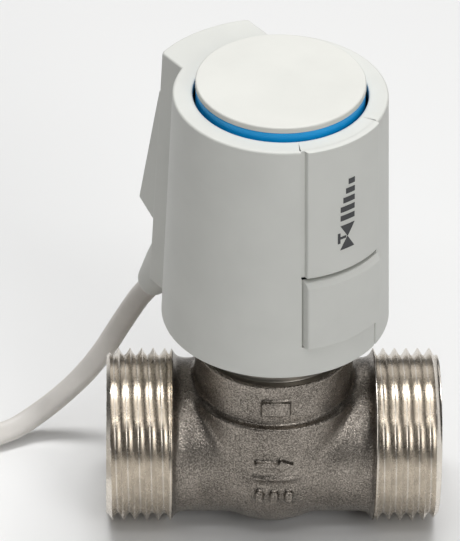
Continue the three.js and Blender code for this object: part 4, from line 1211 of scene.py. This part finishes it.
class ZONEVALVE_OT_threads(bpy.types.Operator):
    """Make the two threaded ends, the collar's face and the M30 neck"""

    bl_idname = "zone_valve.threads"
    bl_label = "Threads and turned faces"

    def execute(self, context):
        size = Sizes(settings("body"))
        for side, name in ((-1, "inlet_thread"), (1, "outlet_thread")):
            piece = thread_end(name, size, side)
            finish(piece, FINISHES["thread_nickel"], ROOT, "cast_nickel", "valve_body")
        # The neck's darker nickel is painted shade under the head.
        finish(self.neck(size), FINISHES["neck_nickel"], ROOT, "cast_nickel", "valve_body")
        return {"FINISHED"}

    def neck(self, size):
        """The collar's turned top, the relief and the M30 x 1.5 thread."""
        relief = size.neck_radius - 1.05
        start = size.collar_top + 2.2
        depth = 0.9
        profile = rounded(
            [(11.0, size.collar_top - 3), (size.collar_radius - 0.35, size.collar_top - 3),
             (size.collar_radius - 0.35, size.collar_top + 0.02), (relief, size.collar_top + 0.02),
             (relief, start)],
            [0, 0, 0.2, 0.3, 0],
        )
        pitch = size.neck_pitch
        z = start
        while z < NECK_TOP_Z - 1.2:
            profile += [np.array((size.neck_radius, z + pitch / 2)), np.array((size.neck_radius - depth, z + pitch))]
            z += pitch
        profile += [np.array(p) for p in ((size.neck_radius - 1, NECK_TOP_Z), (11.0, NECK_TOP_Z))]
        return weigh_normals(lathe("neck_m30", profile, 128, closed=True))


# ---------------------------------------------------------------- head housing


class HeadShape:
    """The housing's outline at any height, in the head's own frame."""

    def __init__(self, size):
        self.size = size
        self.gap = 0.3

    def wall(self, z):
        s = self.size
        return s.rim_radius + (s.base_radius - s.rim_radius) * (RIM_Z - z) / (RIM_Z - s.base_height)

    def wing(self, z):
        return self.size.wing_radius + self.size.wing_taper * (RIM_Z - z)

    def columns(self):
        """(kind, value) of each column round the outline, from the front anticlockwise."""
        edge = self.size.strip_half_width + self.gap
        fine = [edge - 0.16, edge - 0.08, edge - 0.02, edge + 0.02, edge + 0.08, edge + 0.2, edge + 0.5]
        front = sorted([-x for x in fine] + list(np.linspace(-edge + 0.5, edge - 0.5, 33)) + fine)
        right = [("front", x) for x in front]
        right += [("arc", t) for t in np.linspace(0, 1, 72)[1:]]
        right += [("side", t) for t in np.linspace(0, 1, 10)]
        right += [("corner", t) for t in np.linspace(0, 1, 5)[1:-1]]
        right += [("back", t) for t in np.linspace(-1, 1, 41)]
        right += [("corner_left", t) for t in np.linspace(1, 0, 5)[1:-1]]
        right += [("side_left", t) for t in np.linspace(1, 0, 10)]
        right += [("arc_left", t) for t in np.linspace(1, 0, 72)[:-1]]
        return right

    def point(self, column, z, inset):
        """The outline's point of a column at a height, moved inwards."""
        kind, t = column
        wall = self.wall(z) - inset
        wing = self.wing(z) - inset
        half = self.size.wing_half_width - inset
        mirror = -1 if kind.endswith("_left") else 1
        kind = kind.removesuffix("_left")
        corner = 0.55
        concave = math.pi - math.asin(half / wall)
        if kind == "front":
            x = t * wall / (wall + inset)
            return np.array([x, -math.sqrt(wall**2 - x * x)])
        if kind == "arc":
            edge = (self.size.strip_half_width + self.gap + 0.5) / (wall + inset)
            first = math.asin(edge)
            turn = first + (concave - first) * t
            return np.array([mirror * wall * math.sin(turn), -wall * math.cos(turn)])
        near = math.sqrt(wall**2 - half**2)
        far = math.sqrt(wing**2 - half**2)
        if kind == "side":
            return np.array([mirror * half, near + (far - corner - near) * t])
        if kind == "corner":
            swing = t * math.pi / 2 * 0.75
            return np.array(
                [
                    mirror * (half - corner * (1 - math.cos(swing))),
                    far - corner + corner * math.sin(swing) * 1.06,
                ]
            )
        reach = math.asin((half - corner) / wing)
        turn = -reach * t
        return np.array([wing * math.sin(turn), wing * math.cos(turn)])


class ZONEVALVE_OT_housing(bpy.types.Operator):
    """Make the tapered housing with its rim, wing, button window and panel recess"""

    bl_idname = "zone_valve.housing"
    bl_label = "Housing"

    def execute(self, context):
        size = Sizes(settings("head"))
        shape = HeadShape(size)
        columns = shape.columns()
        shell = self.shell(size, shape, columns)
        front_wall = self.wing_front(size)
        floor = self.wing_floor(size, shape)
        whole = joined("head_housing", [shell, front_wall, floor])
        weigh_normals(whole)
        finish(whole, FINISHES["grey_plastic"], ROOT, "grey_plastic", "housing")
        return {"FINISHED"}

    def recess(self, shape, size, x, z):
        """How deep the wall is cut back under the front panel and along the strip's lines."""
        edge = size.strip_half_width + shape.gap
        inside = 1 - np.clip((np.abs(x) - edge) / 0.06 + 0.5, 0, 1)
        above = np.clip((z - (PANEL_BOTTOM_Z - shape.gap)) / 0.06 + 0.5, 0, 1)
        depth = 0.78 * inside * above
        if z < BUTTON_BOTTOM_Z:
            depth = max(depth, 0.5 * max(0.0, 1 - abs(x - edge + 0.05) / 0.2))
        return depth

    def shell(self, size, shape, columns):
        edge = size.strip_half_width + shape.gap
        window_low, window_high = BUTTON_BOTTOM_Z - shape.gap, PANEL_BOTTOM_Z - shape.gap
        rounding = size.edge_rounding
        low_rows = [("low", t) for t in (0, 0.02, 0.06, 0.12, 0.3, 0.6, 0.9)]
        around = [-0.5, -0.1, -0.03, 0.03, 0.1, 0.5]
        levels = sorted(
            [window_low + d for d in around]
            + [window_high + d for d in around]
            + list(np.linspace(window_low + 1, window_high - 1, 10))
            + list(np.linspace(window_high + 1, RIM_Z - rounding - 0.4, 16))
            + [RIM_Z - rounding - 0.1]
        )
        wall_rows = low_rows + [("level", z) for z in levels]
        ceiling = RIM_Z - size.wall
        rows = []
        for kind, value in wall_rows:
            rows.append((kind, value, 0.0, "outer"))
        for t in np.linspace(0, 1, 7):
            swing = t * math.pi / 2
            rows.append(("level", RIM_Z - rounding + rounding * math.sin(swing), rounding * (1 - math.cos(swing)), "outer"))
        for t in (0.03, 0.15, 0.4, 0.7, 0.93, 1.0):
            rows.append(("top", t, RIM_Z, "top"))
        hole = 0.3
        for t in np.linspace(0, 1, 6)[1:]:
            swing = t * math.pi / 2
            rows.append(("hole", size.hole_radius + hole * (1 - math.sin(swing)), RIM_Z - hole * (1 - math.cos(swing)), "hole"))
        rows.append(("hole", size.hole_radius, ceiling, "hole"))
        inner_rows = [row for row in reversed(wall_rows) if row[0] == "low" or row[1] < ceiling - 0.3]
        first_inner = len(rows)
        for kind, value in inner_rows:
            rows.append((kind, value, size.wall, "inner"))

        vertices = []
        lowest_level = levels[0]
        for kind, value, extra, part in rows:
            for k, column in enumerate(columns):
                on_wing = column[0].startswith(("side", "corner", "back"))
                bottom = WING_BOTTOM_Z if on_wing else size.base_height
                if kind in ("low", "level"):
                    z = value if kind == "level" else bottom + (lowest_level - bottom) * value
                    inset = extra
                    if part == "outer" and kind == "low":
                        soft = 0.35
                        inset += fillet_drop(np.array(z - bottom), soft).item()
                    x, y = shape.point(column, z, inset)
                    if column[0] == "front" and part == "outer":
                        cut = self.recess(shape, size, column[1], z)
                        if cut > 0:
                            inset = inset if z < levels[-1] else 0
                            x, y = shape.point(column, z, inset + cut)
                            x = column[1] if abs(column[1]) > edge - 0.3 else x
                            y = -math.sqrt(max((shape.wall(z) - inset - cut) ** 2 - x * x, 0))
                    vertices.append((x, y, z))
                    continue
                rim = shape.point(column, RIM_Z, rounding)
                if column[0] == "front":
                    cut = self.recess(shape, size, column[1], RIM_Z)
                    if cut > 0:
                        x = column[1] if abs(column[1]) > edge - 0.3 else shape.point(column, RIM_Z, cut)[0]
                        rim = np.array([x, -math.sqrt((shape.wall(RIM_Z) - cut) ** 2 - x * x)])
                turn = self.hole_turn(shape, column, k)
                radius = value if kind == "hole" else size.hole_radius + hole
                inner = np.array([radius * math.sin(turn), -radius * math.cos(turn)])
                if kind == "hole":
                    vertices.append((inner[0], inner[1], extra))
                else:
                    x, y = rim * (1 - value) + inner * value
                    vertices.append((x, y, RIM_Z))

        count = len(columns)
        total = len(rows)
        window = set()
        for j, column in enumerate(columns[:-1]):
            after = columns[j + 1]
            if column[0] == "front" and after[0] == "front" and -edge - 0.01 < column[1] and after[1] < edge + 0.01:
                window.add(j)
        open_rows = {
            i for i in range(len(wall_rows) - 1)
            if wall_rows[i][0] == "level" and wall_rows[i + 1][0] == "level"
            and wall_rows[i][1] > window_low - 0.05 and wall_rows[i + 1][1] < window_high + 0.05
        }
        inner_of = {}
        for i, row in enumerate(wall_rows):
            if row in inner_rows:
                inner_of[i] = first_inner + inner_rows.index(row)
        faces = []
        for i in range(total):
            below = (i + 1) % total
            for j in range(count):
                right = (j + 1) % count
                if j in window:
                    if i in open_rows:
                        continue
                    if i >= first_inner and below > i:
                        pair = {k for k, v in inner_of.items() if v in (i, below)}
                        if min(pair) in open_rows:
                            continue
                faces.append((i * count + j, i * count + right, below * count + right, below * count + j))
        window_columns, window_rows = sorted(window), sorted(open_rows)
        first_j, last_j = window_columns[0], window_columns[-1] + 1
        first_i, last_i = window_rows[0], window_rows[-1] + 1
        for i in range(first_i, last_i):
            for j in (first_j, last_j):
                faces.append((i * count + j, (i + 1) * count + j, inner_of[i + 1] * count + j, inner_of[i] * count + j))
        for j in range(first_j, last_j):
            for i in (first_i, last_i):
                faces.append((i * count + j, i * count + j + 1, inner_of[i] * count + j + 1, inner_of[i] * count + j))
        return mesh_piece("housing_shell", vertices, faces, matrix=HEAD_MATRIX)

    def hole_turn(self, shape, column, k):
        """The angle on the top hole's circle that a column runs to."""
        kind, t = column
        concave = math.pi - math.asin(shape.size.wing_half_width / shape.size.rim_radius)
        edge = (shape.size.strip_half_width + shape.gap + 0.5) / shape.size.rim_radius
        mirror = -1 if kind.endswith("_left") else 1
        kind = kind.removesuffix("_left")
        if kind == "front":
            return math.asin(t / shape.size.rim_radius)
        if kind == "arc":
            return mirror * (math.asin(edge) + (concave - math.asin(edge)) * t)
        left_over = math.pi - concave
        if kind == "side":
            return mirror * (concave + left_over * 0.3 * t)
        if kind == "corner":
            return mirror * (concave + left_over * (0.3 + 0.02 * t))
        return math.pi + t * left_over * 0.68

    def wing_front(self, size):
        """The wall that closes the wing below the housing's base."""
        xs = np.linspace(-size.wing_half_width + 0.05, size.wing_half_width - 0.05, 30)
        zs = clustered(WING_BOTTOM_Z, size.base_height + 1.5, 0.3, 2)
        return curved_plate(
            "wing_front",
            xs,
            zs,
            lambda x, z: np.full_like(x, size.base_radius - 0.1),
            lambda x, z: np.full_like(x, size.base_radius - size.wall),
            side=1,
        )

    def wing_floor(self, size, shape):
        """The floor of the wing, round the cable's opening."""
        half = size.wing_half_width - 0.2
        thick = 2.0
        rows = []
        for x in np.linspace(-half, half, 42):
            near = math.sqrt((size.base_radius - 0.3) ** 2 - x * x)
            far = math.sqrt((shape.wing(WING_BOTTOM_Z) - 0.2) ** 2 - x * x)
            if abs(x - HOOD_EXIT.x) < size.hood_radius + 0.3:
                far = min(far, HOOD_EXIT.y - 6.0)
            rows.append((x, near, far))
        vertices, faces = [], []
        for x, near, far in rows:
            for y, z in ((near, WING_BOTTOM_Z + 0.15), (far, WING_BOTTOM_Z + 0.15), (far, WING_BOTTOM_Z + thick), (near, WING_BOTTOM_Z + thick)):
                vertices.append((x, y, z))
        faces = grid_faces(len(rows), 4, wrap_columns=True)
        faces += [(0, 1, 2, 3), tuple(4 * (len(rows) - 1) + k for k in (3, 2, 1, 0))]
        return mesh_piece("wing_floor", vertices, faces, smooth=False, matrix=HEAD_MATRIX)


# ---------------------------------------------------------------- front pieces


class ZONEVALVE_OT_front(bpy.types.Operator):
    """Make the front panel, its printed pictogram and the release button"""

    bl_idname = "zone_valve.front"
    bl_label = "Front panel and button"

    def execute(self, context):
        size = Sizes(settings("head"))
        shape = HeadShape(size)
        half = size.strip_half_width
        back = size.panel_proud - size.panel_thickness

        panel_left, panel_right = -half - 0.28, half + 0.2
        raised_left = panel_left + size.panel_groove
        rounding = 0.22

        def panel_outer(x, z):
            near_side = np.minimum(np.maximum(x - raised_left, 0), panel_right - x)
            edge = np.minimum(near_side, np.minimum(z - PANEL_BOTTOM_Z, RIM_Z - z))
            proud = np.where(x > raised_left - 0.01, size.panel_proud, -0.35)
            return shape.wall(z) + proud - fillet_drop(edge, rounding) * (proud > 0)

        panel = curved_plate(
            "front_strip_panel",
            np.concatenate([[panel_left, raised_left - 0.05], clustered(raised_left, panel_right, rounding, 26)]),
            clustered(PANEL_BOTTOM_Z, RIM_Z, rounding, 20),
            panel_outer,
            lambda x, z: shape.wall(z) + back - 0.12,
        )
        finish(panel, FINISHES["grey_plastic"], ROOT, "grey_plastic", "front_panel")

        bevel_top, bevel_side = 1.0, 0.3

        def button_outer(x, z):
            drop = fillet_drop(np.minimum(half - np.abs(x), z - BUTTON_BOTTOM_Z), bevel_side)
            slope = np.maximum(0, z - (BUTTON_TOP_Z - bevel_top)) * 0.9
            drop = np.maximum(drop, slope + fillet_drop(BUTTON_TOP_Z - z, 0.2))
            return shape.wall(z) + size.button_proud - drop

        zs = np.concatenate(
            [clustered(BUTTON_BOTTOM_Z, BUTTON_TOP_Z - bevel_top, bevel_side, 12)[:-5],
             BUTTON_TOP_Z - bevel_top + np.array([-0.12, 0.0, 0.12, 0.5, 0.78, 0.88, 0.95, 1.0])]
        )
        button = curved_plate(
            "latch_button",
            clustered(-half, half, bevel_side, 26),
            zs,
            button_outer,
            lambda x, z: shape.wall(z) + back,
        )
        finish(button, FINISHES["grey_plastic"], LATCH, "grey_plastic", "release_button")

        finish(self.pictogram(size, shape), FINISHES["ink"], ROOT, "grey_plastic")
        return {"FINISHED"}

    def pictogram(self, size, shape):
        """A plain valve sign with a row of bars, printed up the panel."""
        middle, low = 0.0, 58.6
        sign = 2.3
        outlines = []
        for direction in (-1, 1):
            outlines.append(
                [(middle, low + 2.9), (middle - sign * 0.72, low + 2.9 + direction * 2.7),
                 (middle + sign * 0.72, low + 2.9 + direction * 2.7)]
            )
        outlines.append(rectangle(middle - 1.1, low + 2.9, 1.5, 0.5))
        outlines.append(rectangle(middle - 1.95, low + 2.9, 0.55, 2.3))
        for k, width in enumerate((3.3, 3.3, 2.7, 2.1, 1.5)):
            outlines.append(rectangle(middle + 1.65 - width / 2, low + 7.3 + 1.95 * k, width, 1.15))
        vertices, faces = [], []
        rise = size.panel_proud + 0.09
        for outline in outlines:
            first = len(vertices)
            dense = []
            for p, q in zip(outline, outline[1:] + outline[:1]):
                p, q = np.array(p), np.array(q)
                dense += [p + (q - p) * k / 4 for k in range(4)]
            for layer in (rise, rise - 0.12):
                for x, z in dense:
                    radius = shape.wall(z) + layer
                    vertices.append((x, -math.sqrt(radius**2 - x * x), z))
            count = len(dense)
            faces.append(tuple(range(first, first + count)))
            faces.append(tuple(reversed(range(first + count, first + 2 * count))))
            for k in range(count):
                after = (k + 1) % count
                faces.append((first + after, first + k, first + k + count, first + after + count))
        return mesh_piece("panel_print", vertices, faces, smooth=False, matrix=HEAD_MATRIX)


class ZONEVALVE_OT_indicator(bpy.types.Operator):
    """Make the round cap and the blue ring under it"""

    bl_idname = "zone_valve.indicator"
    bl_label = "Indicator"

    def execute(self, context):
        size = Sizes(settings("head"))
        under = CAP_TOP_Z - size.cap_thickness
        hub = 7.7
        profile = rounded(
            [(0, CAP_LOW.z), (hub, CAP_LOW.z), (hub, under), (size.cap_radius, under),
             (size.cap_radius, CAP_TOP_Z), (0, CAP_TOP_Z)],
            [0, 0.3, 0.5, 0.12, 0.38, 0],
            6,
        )
        cap = weigh_normals(lathe("round_cap", profile, 192))
        finish(cap, FINISHES["white_plastic"], INDICATOR, "white_plastic", "indicator_cap")
        inner = size.ring_radius - 1.35
        ring = rounded(
            [(inner, RING_BOTTOM_Z), (size.ring_radius, RING_BOTTOM_Z), (size.ring_radius, RING_TOP_Z), (inner, RING_TOP_Z)],
            0.2,
            closed=True,
        )
        blue = weigh_normals(lathe("blue_ring", ring, 192, closed=True))
        finish(blue, FINISHES["blue_plastic"], INDICATOR, "blue_plastic", "indicator_ring")
        return {"FINISHED"}


class ZONEVALVE_OT_rear(bpy.types.Operator):
    """Make the wedge cover on the wing and the cable's hood"""

    bl_idname = "zone_valve.rear"
    bl_label = "Rear cover and hood"

    def execute(self, context):
        size = Sizes(settings("head"))
        shape = HeadShape(size)
        half = size.cover_half_width
        low, high = COVER_LOW.z, COVER_HIGH.z
        apex_z, apex_r = size.cover_apex_height, size.cover_apex_radius
        gap = 0.1
        heights = np.unique(
            np.concatenate([clustered(low, apex_z, 0.3, 3), clustered(apex_z, high, 0.35, 18)])
        )
        base_low, base_high = shape.wing(low) + 0.6, shape.wing(high) + 0.5

        def outer(x, z):
            rising = base_low + (apex_r - base_low) * (z - low) / (apex_z - low)
            falling = base_high + (apex_r - base_high) * (high - z) / (high - apex_z)
            blunt = 0.45
            near = np.minimum(rising, falling)
            far = np.abs(rising - falling)
            near = near - np.maximum(0, blunt - far) ** 2 / (4 * blunt)
            edge = np.minimum(half - np.abs(x), np.minimum(z - low, high - z) + 0.1)
            return np.maximum(near - fillet_drop(edge, 0.3), shape.wing(z) + gap + 0.02)

        cover = curved_plate(
            "wing_cover",
            clustered(-half, half, 0.3, 24),
            heights,
            outer,
            lambda x, z: shape.wing(z) + gap,
            side=1,
        )
        finish(cover, FINISHES["grey_plastic"], ROOT, "grey_plastic", "rear_cover")
        finish(self.hood(size), FINISHES["grey_plastic"], ROOT, "grey_plastic", "cable_plug")
        return {"FINISHED"}

    def hood(self, size):
        """A scoop that grows out of the wing and narrows to the cable, with a rounded mouth."""
        wide = size.hood_radius + 0.1
        mouth = 2.3
        root_at, lip = -size.hood_reach, 0.3
        rings = [(root_at, wide, size.hood_root), (root_at * 0.5, wide, size.hood_root * 0.87)]
        rings += [(root_at * 0.12, wide, size.hood_radius + 0.62)]
        for t in np.linspace(0, 1, 5):
            turn = t * math.pi / 2
            in_by = lip * (1 - math.cos(turn))
            rings.append((-lip * (1 - math.sin(turn)) - 0.9 * (1 - t), wide - in_by, size.hood_radius + 0.5 - 0.3 * t - in_by))
        rings += [(0, mouth + 0.12, mouth + 0.12), (-0.15, mouth, mouth), (-3.0, mouth, mouth)]
        count = 64
        vertices = []
        for along, across, high in rings:
            for w, h in oval(2 * across, 2 * high, count, 2.3):
                vertices.append((w, h, along))
        faces = grid_faces(len(rings), count, wrap_columns=True)
        faces.append(tuple(reversed(range(count))))
        lean = settings("head").hood_lean
        turned = Matrix.Translation(HOOD_EXIT * MM) @ Matrix.Rotation(math.pi + lean, 4, "X")
        barrel = mesh_piece("hood_barrel", vertices, faces, matrix=HEAD_MATRIX @ turned)
        plug = block("plug_body", (-6, 22.4, 30.3), (6, 25.6, 38.3), 0.5, HEAD_MATRIX)
        return weigh_normals(joined("cable_hood", [barrel, plug]))


# ---------------------------------------------------------------- inside pieces


class ZONEVALVE_OT_adapter(bpy.types.Operator):
    """Make the screw-on adapter ring with its grips"""

    bl_idname = "zone_valve.adapter"
    bl_label = "Adapter ring"

    def execute(self, context):
        low, high = ADAPTER_LOW.z, ADAPTER_HIGH.z
        flange, spigot, bore, neck = 18.5, 16.0, 12.6, 15.3
        groove, groove_low, groove_high = 14.6, 40.0, 42.5
        shoulder = 34.3
        profile = rounded(
            [
                (neck, low), (flange, low), (flange, low + 4.2), (spigot, low + 4.2),
                (spigot, groove_low), (groove, groove_low), (groove, groove_high), (spigot, groove_high),
                (spigot, high), (bore, high), (bore, shoulder), (neck, shoulder),
            ],
            0.35,
            3,
            closed=True,
        )
        segments = 192
        ring = lathe("screw_adapter", profile, segments, closed=True)
        ribs = 36
        depth = 0.5 * MM
        for vertex in ring.data.vertices:
            radius = math.hypot(vertex.co.x, vertex.co.y)
            if radius > (flange - 0.5) * MM and vertex.co.z < (low + 4.2) * MM:
                wave = max(0.0, math.cos(ribs * math.atan2(vertex.co.y, vertex.co.x)))
                scale = 1 - depth * wave**3 / radius
                vertex.co.x *= scale
                vertex.co.y *= scale
        weigh_normals(ring)
        finish(ring, FINISHES["adapter_plastic"], ROOT, "adapter_plastic", "adapter_ring")
        return {"FINISHED"}


def coil_spring(name, low, high, turns, wire):
    """A wire helix with ground ends, between two heights."""
    radius = (high.x - low.x) / 2 - wire
    count = int(turns * 40)
    path = []
    for k in range(count + 1):
        t = k / count
        rise = min(1, max(0, (t * turns - 0.5) / (turns - 1)))
        spin = 2 * math.pi * turns * t
        z = low.z + wire + (high.z - low.z - 2 * wire) * rise
        path.append((radius * math.cos(spin), radius * math.sin(spin), z))
    return sweep(name, path, oval(2 * wire, 2 * wire, 14, 2), [(0, 0, 1)])


class ZONEVALVE_OT_springs(bpy.types.Operator):
    """Make the closing spring and the valve spring"""

    bl_idname = "zone_valve.springs"
    bl_label = "Springs"

    def execute(self, context):
        main = coil_spring("closing_spring", MAIN_SPRING_LOW, MAIN_SPRING_HIGH, 4.0, 0.88)
        finish(main, FINISHES["spring_steel"], INDICATOR, "spring_steel", "main_spring")
        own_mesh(main)
        valve = coil_spring("stem_spring", VALVE_SPRING_LOW, VALVE_SPRING_HIGH, 6.0, 0.44)
        finish(valve, FINISHES["spring_steel"], ROOT, "spring_steel", "valve_spring")
        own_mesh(valve)
        return {"FINISHED"}


# ---------------------------------------------------------------- add-on


class ZONEVALVE_PT_panel(bpy.types.Panel):
    """The operators, in the order that they run"""

    bl_idname = "ZONEVALVE_PT_panel"
    bl_label = "Zone valve"
    bl_space_type = "VIEW_3D"
    bl_region_type = "UI"
    bl_category = "Zone valve"

    def draw(self, context):
        for operator in OPERATORS:
            self.layout.operator(operator.bl_idname)
        for name, group in SETTINGS.items():
            box = self.layout.box()
            box.label(text=name.capitalize())
            for key in group.__annotations__:
                box.prop(getattr(context.scene, "zone_valve_" + name), key)


SETTINGS = {
    "body": ValveBodySettings,
    "head": HeadSettings,
    "cable": CableSettings,
    "finish": FinishSettings,
    "stage": StageSettings,
}
OPERATORS = [
    ZONEVALVE_OT_stage,
    ZONEVALVE_OT_finishes,
    ZONEVALVE_OT_cable,
    ZONEVALVE_OT_casting,
    ZONEVALVE_OT_threads,
    ZONEVALVE_OT_housing,
    ZONEVALVE_OT_front,
    ZONEVALVE_OT_indicator,
    ZONEVALVE_OT_rear,
    ZONEVALVE_OT_adapter,
    ZONEVALVE_OT_springs,
]


def register():
    for group in SETTINGS.values():
        bpy.utils.register_class(group)
    for name, group in SETTINGS.items():
        setattr(bpy.types.Scene, "zone_valve_" + name, bpy.props.PointerProperty(type=group))
    for operator in OPERATORS:
        bpy.utils.register_class(operator)
    bpy.utils.register_class(ZONEVALVE_PT_panel)


def unregister():
    bpy.utils.unregister_class(ZONEVALVE_PT_panel)
    for operator in reversed(OPERATORS):
        bpy.utils.unregister_class(operator)
    for name in SETTINGS:
        delattr(bpy.types.Scene, "zone_valve_" + name)
    for group in reversed(SETTINGS.values()):
        bpy.utils.unregister_class(group)


def main():
    register()
    for operator in OPERATORS:
        name = operator.bl_idname.split(".")[1]
        getattr(bpy.ops.zone_valve, name)()
    bpy.context.view_layer.update()


if __name__ == "__main__":
    main()
